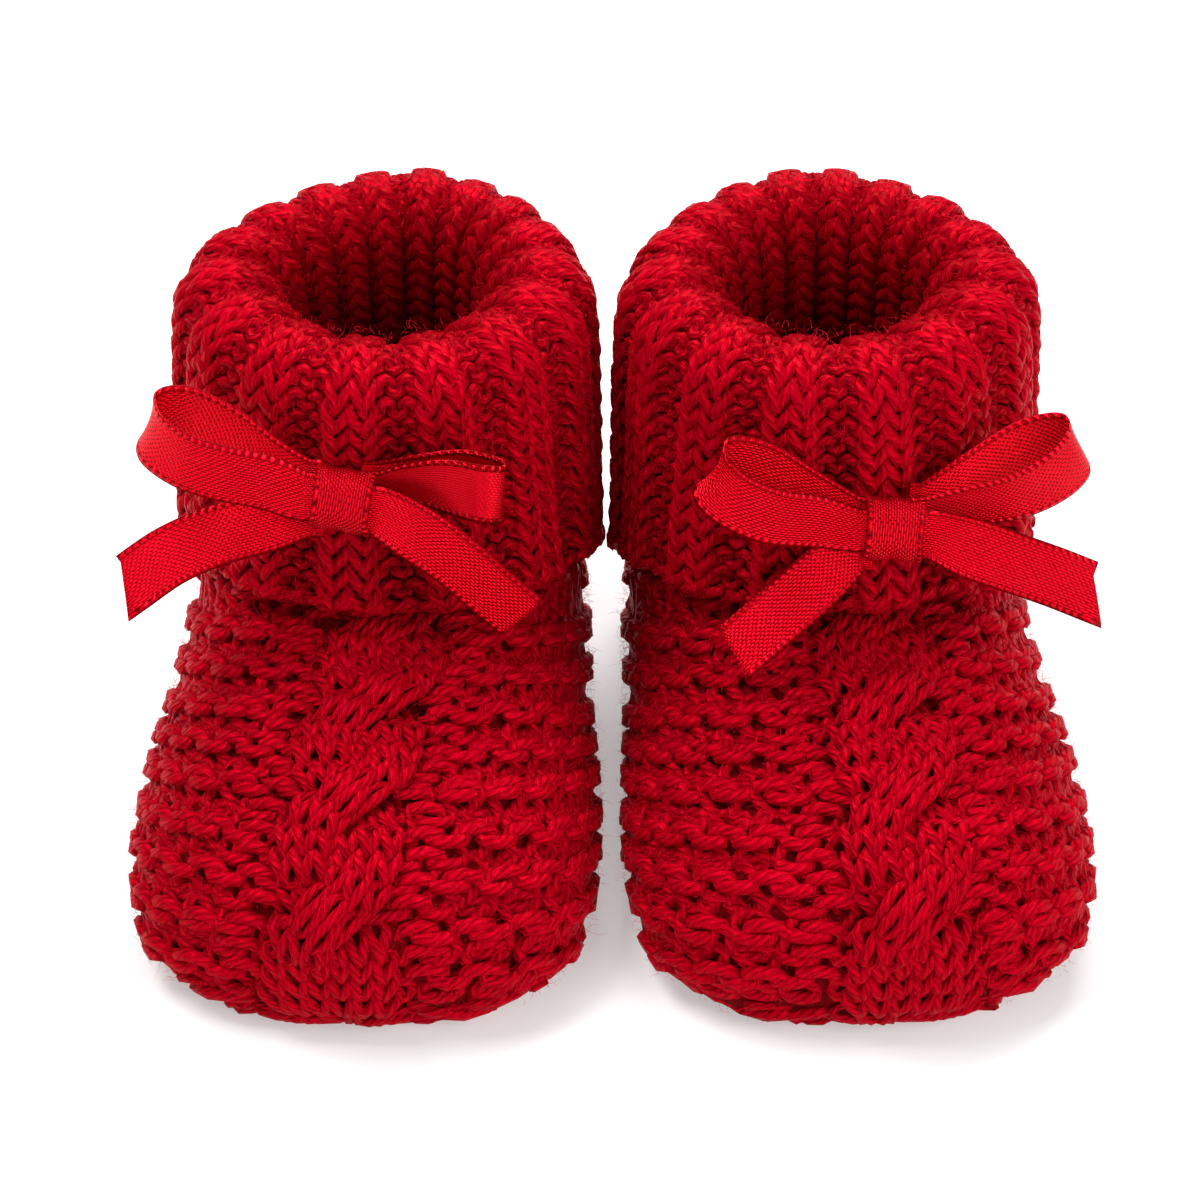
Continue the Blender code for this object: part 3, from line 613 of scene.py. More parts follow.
def foot_rounds(form):
    """The foot's surface again, cut along the rounds of its knitting.

    They start at the toe's lower edge, lie nearly level round the toe, and seen from the front
    and above they run straight across the instep.
    """
    grid = form["points"].transpose(1, 0, 2)
    rows, count = grid.shape[:2]
    quads = grid_quads(rows, count, False, True)
    tip = rows * count
    fan = [(tip, (index + 1) % count, index) for index in range(count)]
    corners = np.vstack((grid.reshape(-1, 3), grid[0].mean(axis=0))).tolist()
    body = BVHTree.FromPolygons(corners, quads.tolist() + fan)
    profile = np.vstack((grid[::-1, count // 2], grid[:, 0]))
    profile[:, 0] = 0.0
    run = arc_length(profile)
    low_end = int(np.argmax((profile[:, 2] >= TOE_TIP) & (profile[:, 1] < -60.0)))
    start = run[low_end]
    ends = read_table(ROUND_ENDS, np.linspace(0.12, len(ROUND_ENDS) - 1.0, FOOT_PLACES))
    rings = []
    for up, back in ends:
        top, low = along_line(profile, run, np.array((start + up, start - back)))
        centre = (top + low) / 2
        tall = np.linalg.norm(top - low) / 2
        rise = (top - centre) / tall
        hit = body.ray_cast(Vector(centre), Vector((1.0, 0.0, 0.0)))
        wide = hit[3] if hit[3] else tall
        ring = []
        for angle in full_turn(RING_SAMPLES):
            aim = rise * tall * math.cos(angle)
            aim[0] += wide * math.sin(angle)
            hit = body.ray_cast(Vector(centre), Vector(aim))
            ring.append(centre + aim if hit[0] is None else np.array(hit[0]))
        rings.append(even_ring(np.array(ring)))
    grid = np.array(rings)
    closed = np.concatenate((grid, grid[:, :1]), axis=1)
    return {
        "points": grid.transpose(1, 0, 2),
        "normals": grid_normals(grid).transpose(1, 0, 2),
        "girth": np.linalg.norm(np.diff(closed, axis=1), axis=2).sum(axis=1),
        "run": ends[:, 0],
        "front_y": grid[:, 0, 1],
        "step": np.linalg.norm(np.gradient(grid, axis=0), axis=2).T + 1e-3,
    }


def cuff_form(side):
    """Points and normals of the middle of the turned-over band, from its lower edge inwards.

    The grid's columns run round the ankle by even turns, from the front.
    """
    radius = CUFF_ROLL_RADIUS - CUFF_WALL / 2
    hang = np.linspace(1.0, 0.0, BAND_SAMPLES)
    angle = np.linspace(0.0, math.pi, BAND_SAMPLES)
    leg = np.linspace(0.0, 1.0, BAND_SAMPLES // 2)[1:]
    crest_sample = BAND_SAMPLES + BAND_SAMPLES // 2 - 1
    form = {"points": [], "normals": [], "length": [], "crest": []}
    for here in full_turn(CUFF_ROUND):
        edge = float(cuff_edge(here))
        flare = float(cuff_flare(here))
        offset = np.concatenate((
            radius + flare * hang ** FLARE_POWER,
            radius * np.cos(angle[1:]),
            np.full(len(leg), -radius),
        ))
        height = CUFF_ROLL_HEIGHT + np.concatenate((
            hang * (edge - CUFF_ROLL_HEIGHT),
            radius * np.sin(angle[1:]),
            leg * (CUFF_INNER_EDGE - CUFF_ROLL_HEIGHT),
        ))
        run = arc_length(np.stack((offset, height), axis=1))
        want = np.linspace(0.0, run[-1], CUFF_PLACES)
        offset = np.interp(want, run, offset)
        height = np.interp(want, run, height)
        x, y = ankle_place(here, offset, height, side)
        slope = unit(np.stack((np.gradient(offset), np.gradient(height)), axis=1))
        normal = (slope[:, 1] * math.sin(here), -slope[:, 1] * math.cos(here), -slope[:, 0])
        form["points"].append(np.stack((x, y, height), axis=1))
        form["normals"].append(np.stack(normal, axis=1))
        form["length"].append(run[-1])
        form["crest"].append(run[crest_sample] / run[-1] * (CUFF_PLACES - 1))
    return {name: np.array(values) for name, values in form.items()}


# ---------------------------------------------------------------- knitting
def loop_sway(t):
    """Sideways swing of a loop of yarn; t is 0 to 1 over one stitch."""
    return np.sin(TWICE_ROUND * t)


def loop_reach(t):
    """Swing along the knitting: -1 at the loop's feet, 1 at its head."""
    return -np.cos(2 * math.pi * t)


def loop_depth(t, feet, head, legs):
    """Swing in and out of the cloth, where each part of the loop is in front (1) or behind (-1)."""
    middle = (feet + head) / 2
    return ((middle + legs) / 2 + (feet - head) / 2 * np.cos(2 * math.pi * t)
            + (middle - legs) / 2 * np.cos(TWICE_ROUND * t))


def round_places(count, steps):
    """Places along a round in stitches, and how far each one is over its own stitch, 0 to 1."""
    index = np.arange(count * steps)
    return index / steps, index % steps / steps


def wobble(rng, count, steps, size):
    """A slow irregular value along a round of stitches, one knot for each stitch."""
    knots = rng.normal(0.0, size, count)
    place, t = round_places(count, steps)
    low = place.astype(int)
    share = ease(t, 0.0, 1.0)
    return knots[low] * (1 - share) + knots[(low + 1) % count] * share


def on_surface(form, column, row):
    """Points and normals of a form at places between its own."""
    return sample(form["points"], column, row), unit(sample(form["normals"], column, row))


def cell_depth(t, steps, feet, head, legs):
    """Depth along a round whose stitches each have their own feet, head and legs."""
    count = len(feet)
    cell = np.repeat(np.arange(count), steps)
    other = np.where(t < 0.5, cell - 1, cell + 1) % count
    return loop_depth(t, (feet[cell] + feet[other]) / 2, head[cell], legs[cell])


def rib_wave(stitch):
    """1 over a knit rib of two stitches and -1 over the purl ones beside it."""
    return np.tanh(2.4 * (np.cos(math.pi * stitch / 2) + 0.30))


def front_sag(points):
    """How far the turned-over edge hangs lower at the front, for points of the cuff."""
    turn = np.arctan2(points[..., 0], -points[..., 1])
    return FRONT_SAG * to_front(turn) ** 1.5 * ease(points[..., 2], 50.0, 64.0)


def cuff_round(side, place, crowding):
    """Column of the cuff's grid for places in stitches; knit ribs are wider than purl ones."""
    from_middle = place - RIB_MIDDLE[side]
    place = place + crowding * np.sin(math.pi * from_middle / 2)
    even = 2.0 * math.pi * place / CUFF_STITCHES
    turn = even + RIB_CROWDING * np.sin(even)
    return turn / (2.0 * math.pi) * CUFF_ROUND


def around(values, column):
    """Values of a closed row of numbers at places between its own."""
    count = len(values)
    return np.interp(np.mod(column, count), np.arange(count + 1), np.append(values, values[0]))


def knit_cuff(side, form, finish, shaded_inside_finish):
    """Rounds of two-by-two ribbing over the whole turned-down band.

    Inside, where the ribs are crowded, one loop stands for the two of each rib.
    """
    rng = np.random.default_rng(11 if side == "left" else 23)
    outer, inner = Yarn(), Yarn()
    for course in range(OUTER_COURSES + INNER_COURSES):
        hanging = course < OUTER_COURSES
        width = 1 if hanging else 2
        count = CUFF_STITCHES // width

        def uneven(what):
            return wobble(rng, count, RIB_STEPS, CUFF_UNEVEN[what])

        even, t = round_places(count, RIB_STEPS)
        knit = np.where(np.arange(count) % (4 // width) < 2 // width, 1.0, -1.0)
        on_knit = 0.5 + 0.5 * spread(knit, RIB_STEPS)
        sway = loop_sway(t) * (between(on_knit, PURL_SWAY, KNIT_SWAY) + uneven("sway"))
        stitch = even + sway + uneven("stitch")
        from_middle = stitch * width - 1.0
        place = RIB_MIDDLE[side] + from_middle
        column = cuff_round(side, place, RIB_FULLNESS if hanging else RIB_FULLNESS_INSIDE)
        length = around(form["length"], column)
        crest = around(form["crest"], column)
        to_crest = crest / (CUFF_PLACES - 1)
        if hanging:
            row = (course + FIRST_COURSE) / COURSES_TO_CREST * crest
            spacing = to_crest * length / COURSES_TO_CREST
        else:
            share = (course - OUTER_COURSES + FIRST_INNER_COURSE) / COURSES_INSIDE
            row = between(share, crest, CUFF_PLACES - 1)
            spacing = (1 - to_crest) * length / COURSES_INSIDE
        swing = loop_reach(t) * (RIB_REACH + uneven("reach")) * spacing + uneven("row")
        row = row + swing / length * (CUFF_PLACES - 1)
        depth = cell_depth(t, RIB_STEPS, -knit, -knit, knit)
        point, normal = on_surface(form, column, row)
        over_crest = np.exp(-((row / crest - 1.0) / CREST_WIDTH) ** 2)
        height = RIB_LIFT - CREST_SINK * over_crest + (RIB_DEPTH - CREST_CALM * over_crest) * depth
        round_rib = ROUND_RIB * np.cos(math.pi * from_middle / 2)
        height = height + RIB_SWELL * between(over_crest, rib_wave(from_middle), round_rib)
        height = height + uneven("height")
        path = point + normal * height[:, None]
        path[:, 2] -= front_sag(path)
        leg = between(on_knit, PURL_LEG, KNIT_LEG)
        radius = RIB_YARN * (1.0 - leg * np.cos(TWICE_ROUND * t))
        # how far the yarn stands out of the cloth, which sets how much painted shade it gets
        openness = ease(height, *OPEN_HEIGHTS)
        if hanging:
            outer.lay(path, normal, radius, True, openness)
        else:
            # yarn inside the neck, whose finish is painted darker as shade
            inner.lay(path, normal, radius * INSIDE_GIRTH, True, openness)
    edge_round(outer, side, form, rng)
    return [
        outer.finish(f"{side}_cuff_ribbing", side, finish, "cuff_knit"),
        inner.finish(f"{side}_cuff_ribbing_inside", side, shaded_inside_finish, "cuff_knit"),
    ]


def edge_round(yarn, side, form, rng):
    """The bumpy first rounds of the knitting, along the lower edge."""
    count = CUFF_STITCHES
    stitch, t = round_places(count, EDGE_STEPS)
    along, upwards, outwards = EDGE_SWINGS
    for lift, out, shift in EDGE_ROUNDS:
        phase = 2 * math.pi * (t + shift)
        place = stitch + along * np.sin(2 * phase)
        column = cuff_round(side, place, RIB_FULLNESS)
        up = lift + upwards * np.sin(phase) + wobble(rng, count, EDGE_STEPS, 0.12)
        row = np.maximum(up, 0.0) / around(form["length"], column) * (CUFF_PLACES - 1)
        point, normal = on_surface(form, column, row)
        height = 0.7 + out + 0.45 * rib_wave(place - RIB_MIDDLE[side]) + outwards * np.cos(phase)
        point[:, 2] += np.minimum(up, 0.0)
        yarn.lay(point + normal * height[:, None], normal, RIB_YARN * 0.98, True)


def panel_half(girth):
    """Half the width of the six stitches of the cable on a round of the foot."""
    return min(CABLE_WIDTH / 2, PANEL_SHARE * girth)


def strand_place(phase):
    """Where a strand of the cable is across the panel: 1 on the right, -1 on the left."""
    return np.tanh(CABLE_HASTE * np.cos(phase)) / math.tanh(CABLE_HASTE)


def strand_path(along):
    """How far the cable's strands are apart (1 to -1), their slope, and the cable's strength."""
    phase = math.pi * (along - CABLE_LAST_CROSSING + CABLE_PERIOD / 2) / CABLE_PERIOD
    wave = strand_place(phase)
    slope = (strand_place(phase + 0.01) - strand_place(phase - 0.01)) / 0.02
    fade = ease(along, *CABLE_TOE_FADE)
    steep = slope * fade * STRAND_HALF * math.pi / CABLE_PERIOD
    return wave * fade + 1.0 - fade, steep, fade


def panel_edges(along, wale):
    """How far the cable's strands reach to the left and right of its middle, in stitches."""
    near = along + np.linspace(-6.0, 6.0, 49)
    place, steep, _ = strand_path(near)
    width = STRAND_HALF * (1.0 - STRAND_SQUEEZE * (1.0 - place ** 2))
    reach = {}
    for hand in (-1, 1):
        reach[hand] = 0.0
        for way in (-1, 1):
            turn = ROW_TURN * np.arctan(wale * steep * way)
            edge = STRAND_HALF * place * way * hand + width * np.cos(turn)
            run = near - hand * width * wale * np.sin(turn)
            reach[hand] = max(reach[hand], float(np.interp(along, run, edge)))
    return reach[-1], reach[1]


def cable_stitches(stitch, sway, swing, along, wale):
    """Places of the cable's yarn: across in stitches, along in mm, and out in mm.

    Each strand is three stitches wide. Where it crosses, its loops lean in its own direction
    and its rows turn with it.
    """
    place, steep, fade = strand_path(along)
    hand = np.where(stitch >= 0, 1.0, -1.0)
    way = hand if place > 0 else -hand
    turn = ROW_TURN * np.arctan(wale * steep * way)
    crossing = (1.0 - place ** 2) * fade
    beside = stitch - STRAND_HALF * hand
    squeeze = 1.0 - STRAND_SQUEEZE * crossing
    inside = (beside + sway) * squeeze
    across = STRAND_HALF * place * way + inside * np.cos(turn) + swing * steep * way * LOOP_LEAN
    shift = swing - beside * squeeze * wale * np.sin(turn)
    over = 0.5 + 0.5 * np.sign(way * steep) * np.minimum(1.0, 3.0 * np.abs(steep))
    crown = 1.0 - (beside / CROWN_HALF) ** 2
    out = CABLE_RISE + STRAND_FULLNESS * STRAND_RISE * crown * between(over, UNDER_SHARE, 1.0)
    out = out + crossing * between(over, -CROSSING_SINK, CROSSING_LIFT)
    out = out * (0.35 + 0.65 * fade) * (1.0 - 0.7 * ease(along, *CABLE_TOP_FADE))
    return across, shift, out - CABLE_SINK


def spread(values, steps):
    """Values of whole stitches along a closed round, blended from one stitch's middle to the next."""
    count = len(values)
    place = (np.arange(count * steps) + 0.5) / steps - 0.5
    low = np.floor(place).astype(int)
    share = ease(place - low, 0.15, 0.85)
    return values[low % count] * (1 - share) + values[(low + 1) % count] * share


def foot_round(side, form, course, cable_due, rng):
    """Path, normals, radii and visibility of one round of the foot's yarn."""
    index = np.arange(FOOT_PLACES)
    run = FIRST_ROUND + course * COURSE
    row = float(np.interp(run, form["run"], index))
    girth = float(np.interp(row, index, form["girth"]))
    along = run - TIP_TO_NOSE
    wale = panel_half(girth) / 3.0
    ridge = int(course) // 2
    ridge_row = float(np.interp(FIRST_ROUND + 2 * ridge * COURSE, form["run"], index))
    ridge_girth = float(np.interp(ridge_row, index, form["girth"]))
    beside = max(2, int(round((ridge_girth / 2 - panel_half(ridge_girth)) / GARTER_STITCH)))
    shift = float(np.interp(np.interp(row, index, form["front_y"]),
                            CABLE_SHIFT_AT, CABLE_SHIFT[side][::-1]))
    shift *= min(1.0, PANEL_SHARE * girth / CABLE_WIDTH)
    total = 6 + 2 * beside
    even, t = round_places(total, STEPS)
    stitch = even - 3.0
    stitch = np.where(stitch > total / 2, stitch - total, stitch)

    def uneven(what):
        return wobble(rng, total, STEPS, FOOT_UNEVEN[what])

    # what kind of stitch each one is
    middle = np.arange(total) - 2.5
    middle = np.where(middle > total / 2, middle - total, middle)
    cable = np.abs(middle) < 3
    left, right = panel_edges(along, wale)
    edges = (left * wale, right * wale)
    cell_share = foot_share(middle, beside, edges, shift, girth)
    step = sample(form["step"][..., None], cell_share * FOOT_ROUND, np.full(total, row))[:, 0]
    pace = step * float(np.interp(row, index, 1.0 / np.gradient(form["run"])))
    doubled = (pace > WIDE_PACE) & ~cable
    crowded = pace < NARROW_PACE
    halfway = course % 1 > 0
    purl_round = np.where(doubled, halfway, int(course) % 2 == 1)
    always_purl = (np.abs(middle) > 3) & (np.abs(middle) < 3 + PURL_STITCHES)
    feet = np.where(cable, -1.0, np.where(always_purl | purl_round, 1.0, -1.0))
    head = np.where(cable, -1.0, np.where(always_purl | ~purl_round, 1.0, -1.0))
    legs = np.where(cable, 1.0, np.where(always_purl, -1.0, GARTER_LEGS))
    drawn = np.where(crowded, cable_due, True) & (doubled | (not halfway))

    # where its yarn runs: sideways, along the knitting and out of the cloth
    cell = np.repeat(np.arange(total), STEPS)
    cabled = cable[cell]
    on_cable = spread(cable.astype(float), STEPS)
    depth = cell_depth(t, STEPS, feet, head, legs)
    side_on = ease(np.abs(stitch) / total, 0.12, 0.30)
    ridge_depth = np.where(always_purl[cell], PURL_DEPTH, between(side_on, GARTER_DEPTH, SIDE_DEPTH))
    depth = depth * between(on_cable, ridge_depth, CABLE_DEPTH)
    sway = loop_sway(t) * (between(on_cable, GARTER_SWAY, CABLE_SWAY) + uneven("sway"))
    sway = sway + uneven("stitch")
    pace_here = np.where(crowded, 1.0, pace / np.where(doubled, 2, 1))
    pace_here = np.clip(spread(pace_here, STEPS), 0.8, 1.6)
    swing = loop_reach(t) * (FOOT_REACH + uneven("reach")) * COURSE * pace_here + uneven("row")
    across, push, out = cable_stitches(stitch, sway, swing, along, wale)
    push = np.where(cabled, push, swing)
    sink = PURL_SINK * spread(always_purl.astype(float), STEPS) + GARTER_SINK
    out = between(on_cable, -sink, out)
    slip = RIDGE_SLIP * math.sin(2.4 * ridge + len(side)) * ease(np.abs(stitch), 3.5, 6.5)
    share = foot_share(stitch + sway + slip, beside, edges, shift, girth)
    share = np.where(cabled, (shift + across * wale) / girth, share)
    column = share * FOOT_ROUND
    local = sample(form["step"][..., None], column, np.full(len(column), row))[:, 0]
    row_here = row + push / local
    point, normal = on_surface(form, column, row_here)
    height = out + depth + uneven("height")
    height = height - SOLE_SINK * (1.0 - ease(point[:, 2], 0.0, 5.0)) * (point[:, 2] > 0.3)
    path = point + normal * height[:, None]
    path[:, 2] = np.maximum(path[:, 2], LOWEST_YARN)
    radius = between(on_cable, GARTER_YARN, CABLE_YARN) * min(1.0, 0.75 + girth / 300)
    leg = np.where(cabled, CABLE_LEG, GARTER_LEG)
    radius = radius * (1.0 - leg * np.cos(TWICE_ROUND * t))
    shown = drawn[cell] & ~hidden_by_cuff(point)
    return path, normal, radius, shown


def foot_share(place, beside, edges, shift, girth):
    """Share of the girth for a place counted in stitches beside the cable, which has -3 to 3."""
    left, right = edges
    past = np.maximum(np.abs(place) - 3.0, 0.0) / beside
    on_right = shift + right * np.minimum(place / 3.0, 1.0) + past * (girth / 2 - shift - right)
    on_left = shift + left * np.maximum(place / 3.0, -1.0) - past * (girth / 2 + shift - left)
    return np.where(place > 0, on_right, on_left) / girth


def knit_foot(side, form, finish):
    """Rounds of garter stitch with a six-stitch cable on the instep."""
    rng = np.random.default_rng(37 if side == "left" else 53)
    yarn = Yarn()
    last = form["run"][-1]
    due_at = 0.0
    for half_course in range(2 * int((last - FIRST_ROUND) / COURSE)):
        course = half_course / 2
        run = FIRST_ROUND + course * COURSE
        due = run >= due_at and half_course % 2 == 0
        if due:
            due_at = run + COURSE * 0.85
        path, normal, radius, shown = foot_round(side, form, course, due, rng)
        steps = len(path)
        jump = np.linalg.norm(np.roll(path, -1, axis=0) - path, axis=1) > LONGEST_FLOAT
        runs = visible_runs(shown, jump)
        if runs is None:
            yarn.lay(path, normal, radius, True, floor=0.0)
            continue
        for first, last_point in runs:
            if last_point - first > 5:
                pick = np.arange(first, last_point) % steps
                yarn.lay(path[pick], normal[pick], radius[pick], False, floor=0.0)
    return [yarn.finish(f"{side}_foot_knitting", side, finish, "foot_knit")]


def hidden_by_cuff(points):
    """Where the foot is well up inside the turned-down cuff."""
    turn, offset = ankle_offset(points[:, 0], points[:, 1])
    inside = offset < CUFF_ROLL_RADIUS + cuff_flare(turn) * 1.1 + HIDDEN_MARGIN
    return (points[:, 2] > cuff_edge(turn) + HIDDEN_ABOVE) & inside


def visible_runs(shown, jump):
    """First and last index of each run of shown points in a closed row, or None if it is whole.

    A jump after a point ends its run.
    """
    count = len(shown)
    if shown.all() and not jump.any():
        return None
    breaks = np.flatnonzero(~shown | jump)
    if len(breaks) == count:
        return []
    runs = []
    for here, there in zip(breaks, np.append(breaks[1:], breaks[0] + count)):
        first = here + 1
        last = there + (1 if shown[there % count] else 0)
        if last > first:
            runs.append((first, last))
    return runs


# ---------------------------------------------------------------- dark shells under the stitches, painted shade in their gaps
def cuff_gap_shade(side, form, finish):
    """Thin closed dark shell that fills the gaps between the stitches of the cuff; its dark colour is
    painted shade there.
    """
    middle = form["points"][::3, ::6]
    normal = unit(form["normals"][::3, ::6])
    place = np.linspace(-4.0, CUFF_STITCHES + 4.0, 1200)
    column = np.arange(0, CUFF_ROUND, 3)
    place = np.interp(column, cuff_round(side, place, RIB_FULLNESS), place)
    rib = 0.5 + 0.5 * rib_wave(place - RIB_MIDDLE[side])
    shown = middle + normal * between(rib, *CUFF_SHELL)[:, None, None]
    hidden = middle + normal * CUFF_SHELL_BACK
    grid = np.concatenate((shown, hidden[:, ::-1]), axis=1)
    grid[..., 2] -= front_sag(grid)
    columns, rows = grid.shape[:2]
    quads = grid_quads(columns, rows, True, True)
    points = to_world(grid.reshape(-1, 3), side)
    return make_piece(
        f"{side}_cuff_shade_shell", points, quads, None, finish, (f"{side}_cuff",))


def foot_gap_shade(side, form, finish):
    """Thin closed dark shell that fills the gaps between the stitches of the foot; its dark colour is
    painted shade there.
    """
    base = form["points"][::4, ::4].copy()
    normal = form["normals"][::4, ::4]
    middle = np.interp(base[..., 1], CABLE_SHIFT_AT, CABLE_SHIFT[side])
    beside = np.abs(base[..., 0] - middle)
    under_cable = (1.0 - ease(beside, 3.0, 5.6)) * ease(normal[..., 2], 0.0, 0.5)
    shown = base + normal * between(under_cable, *FOOT_SHELL)[..., None]
    shown[..., 2] = np.maximum(shown[..., 2], 0.25)
    hidden = base - normal * FOOT_WALL
    hidden[..., 2] = np.maximum(hidden[..., 2], 1.4)
    grid = np.concatenate((shown[:, 1:], hidden[:, :1:-1]), axis=1)
    columns, rows = grid.shape[:2]
    first = np.arange(columns) * rows
    after = np.roll(first, -1)
    tip = np.full(columns, columns * rows)
    caps = np.vstack((
        np.stack((tip, first, after), axis=1),
        np.stack((tip + 1, after + rows - 1, first + rows - 1), axis=1),
    ))
    points = np.vstack((grid.reshape(-1, 3), grid[:, 0].mean(axis=0), grid[:, -1].mean(axis=0)))
    quads = grid_quads(columns, rows, True, False)
    piece = make_piece(f"{side}_foot_shade_shell", to_world(points, side), quads, None, finish,
                       (f"{side}_foot",), caps)
    face_outward(piece)
    return piece


# ---------------------------------------------------------------- fuzz
def fuzz(name, side, grid, normals, wanted, rooted, finish, seed):
    """Loose fibres that stand out of the yarn, as thin curled strips."""
    rng = np.random.default_rng(seed)
    over = np.roll(grid, -1, axis=0) - grid
    area = np.linalg.norm(np.cross(over, np.gradient(grid, axis=1)), axis=2) * wanted
    pick = rng.choice(area.size, FIBRES, p=(area / area.sum()).ravel())
    normals = normals.reshape(-1, 3)[pick]
    start = grid.reshape(-1, 3)[pick] + normals * rng.uniform(*rooted, (FIBRES, 1))
    out = unit(normals + rng.normal(0.0, 0.55, (FIBRES, 3)))
    bend = rng.normal(0.0, 1.0, (FIBRES, 3))
    bend = unit(bend - out * (bend * out).sum(axis=1, keepdims=True))
    length = rng.gamma(2.4, 0.30, FIBRES)[:, None, None] + FIBRE_LEAST
    curl = rng.uniform(*FIBRE_CURLS, FIBRES)[:, None, None]
    share = np.linspace(0.0, 1.0, FIBRE_POINTS)[:, None]
    swerve = out[:, None] * np.sin(curl * share) + bend[:, None] * (1 - np.cos(curl * share))
    path = start[:, None] + length * swerve / curl
    along = unit(path[:, -1] - path[:, 0])
    across = unit(np.cross(along, rng.normal(0.0, 1.0, (FIBRES, 3))))
    to_edge = across[:, None] * FIBRE_HALF_WIDTH * (1.0 - 0.6 * share)
    points = np.stack((path - to_edge, path + to_edge), axis=2).reshape(-1, 3)
    points[:, 2] = np.maximum(points[:, 2], 0.02)
    first = np.arange(FIBRES)[:, None] * 2 * FIBRE_POINTS + np.arange(FIBRE_POINTS - 1) * 2
    quads = first.reshape(-1, 1) + np.array((0, 1, 3, 2))
    return make_piece(name, to_world(points, side), quads, None, finish)


# ---------------------------------------------------------------- bows
def bow_axes():
    """The bow's own directions: to the right, up its leaning face, and out of it."""
    lean = math.radians(BOW_LEAN)
    right = np.array((1.0, 0.0, 0.0))
    up = np.array((0.0, math.sin(lean), math.cos(lean)))
    return right, up, np.cross(right, up)


def knot_centre(side):
    """Middle of the knot, seated on the ribs of the cuff's front."""
    x, height = KNOT_PLACE[side]
    turn = 0.0
    for _ in range(6):
        flare = float(cuff_flare(turn) * hang_share(turn, height) ** FLARE_POWER)
        offset = CUFF_ROLL_RADIUS + flare + RIB_RISE
        turn = math.asin(x / (CUFF_HALF_WIDTH + offset))
    depth = (CUFF_HALF_DEPTH + offset) * math.cos(turn)
    return np.array((x, -depth, height)) + bow_axes()[2] * (KNOT_DEPTH / 2 + KNOT_SEAT_GAP[side])


def run_under_knot(row):
    """The row of a ribbon's table beyond one of its ends, further in under the knot."""
    lead = np.array(row)
    lead[0] -= math.copysign(UNDER_KNOT, row[0])
    lead[5] *= 0.92
    return lead


def ribbon_piece(side, part, rows, cut, centre, finish):
    """One length of ribbon: a thin closed strip with a soft cross-section."""
    right, up, out = bow_axes()
    rows = np.vstack((run_under_knot(rows[0]), rows))
    if part.startswith("loop"):
        rows = np.vstack((rows, run_under_knot(rows[-1])))
    steps = (len(rows) - 1) * 9
    values = read_table(rows, np.linspace(0.0, len(rows) - 1.0, steps + 1))
    path = centre + values[:, 0:1] * right + values[:, 1:2] * up + values[:, 2:3] * out
    spin = np.radians(values[:, 3:4])
    pitch = np.radians(values[:, 4:5])
    width = np.cos(spin) * (np.cos(pitch) * up + np.sin(pitch) * out) + np.sin(spin) * right
    along = unit(np.gradient(path, axis=0))
    width = unit(width - (width * along).sum(axis=1, keepdims=True) * along)
    thick = np.cross(along, width)[:, None]
    half_width = RIBBON_WIDTH / 2 * values[:, 5:6]
    run = arc_length(path)
    slant = np.zeros_like(half_width)
    slant[-2:, 0] = (cut / 2, cut)

    # the strip's two faces, from edge to edge
    across = np.linspace(-1.0, 1.0, 13)
    place = across[:, None]
    near_edge = np.abs(across)
    half_wall = np.where(near_edge > 0.97, 0.55, np.where(near_edge > 0.80, 1.25, 1.0))
    half_wall = RIBBON_HALF_WALL * half_wall[:, None]
    hollow = 0.35 * np.sin(run / 5.0)[:, None, None] * (place ** 2 - 0.4)
    middle = path[:, None] + place * (width * half_width - along * slant)[:, None] + thick * hollow
    top = middle + thick * half_wall
    bottom = middle - thick * half_wall
    grid = np.concatenate((top, bottom[:, ::-1]), axis=1)

    sections, count = grid.shape[:2]
    places = np.concatenate((across, across[::-1], across[:1])) * RIBBON_WIDTH / 2
    corner = np.arange(len(across) - 1)
    cap = np.stack((corner, corner + 1, count - 2 - corner, count - 1 - corner), axis=1)
    quads = grid_quads(sections, count, False, True)
    quads = np.vstack((quads, cap, cap + (sections - 1) * count))
    uv = np.vstack((grid_uv(run, places), np.zeros((2 * cap.size, 2))))
    piece = make_piece(f"{side}_ribbon_{part}", to_world(grid.reshape(-1, 3), side), quads, uv,
                       finish, (f"{side}_bow_{part}",))
    face_outward(piece)
    return piece


def knot_piece(side, centre, finish):
    """The wrap round the middle of the bow, a loop of ribbon drawn tight with small creases."""
    right, up, out = bow_axes()
    spin = math.radians(KNOT_TURN[side])
    tall = math.cos(spin) * up + math.sin(spin) * right
    wide = math.cos(spin) * right - math.sin(spin) * up
    across = np.concatenate(([-1.0, -0.985], np.linspace(-0.93, 0.93, 15), [0.985, 1.0]))
    fullness = np.concatenate(([0.55, 0.86], np.ones(15), [0.86, 0.55]))[:, None]
    share = across[:, None]
    turn = full_turn(KNOT_ROUND)
    crease = 0.035 * np.sin(7.0 * share + 1.3 * np.cos(turn)) * (1 - share ** 2)
    body = fullness * (0.93 + 0.07 * share ** 2) + crease
    sideways = share * KNOT_WIDTH / 2 * (1 + 0.03 * np.cos(2 * turn))
    high = signed_power(np.cos(turn), 0.62) * body * KNOT_HEIGHT / 2
    deep = signed_power(np.sin(turn), 0.72) * body * KNOT_DEPTH / 2
    grid = centre + sideways[..., None] * wide + high[..., None] * tall + deep[..., None] * out
    quads = grid_quads(len(across), KNOT_ROUND, False, True)
    round_places = np.arange(KNOT_ROUND + 1) / KNOT_ROUND * 23.0
    uv = grid_uv(across * RIBBON_WIDTH / 2, round_places)[:, ::-1]
    piece = make_piece(f"{side}_ribbon_knot", to_world(grid.reshape(-1, 3), side), quads, uv,
                       finish, (f"{side}_bow_knot",))
    face_outward(piece, fill=True)
    return piece


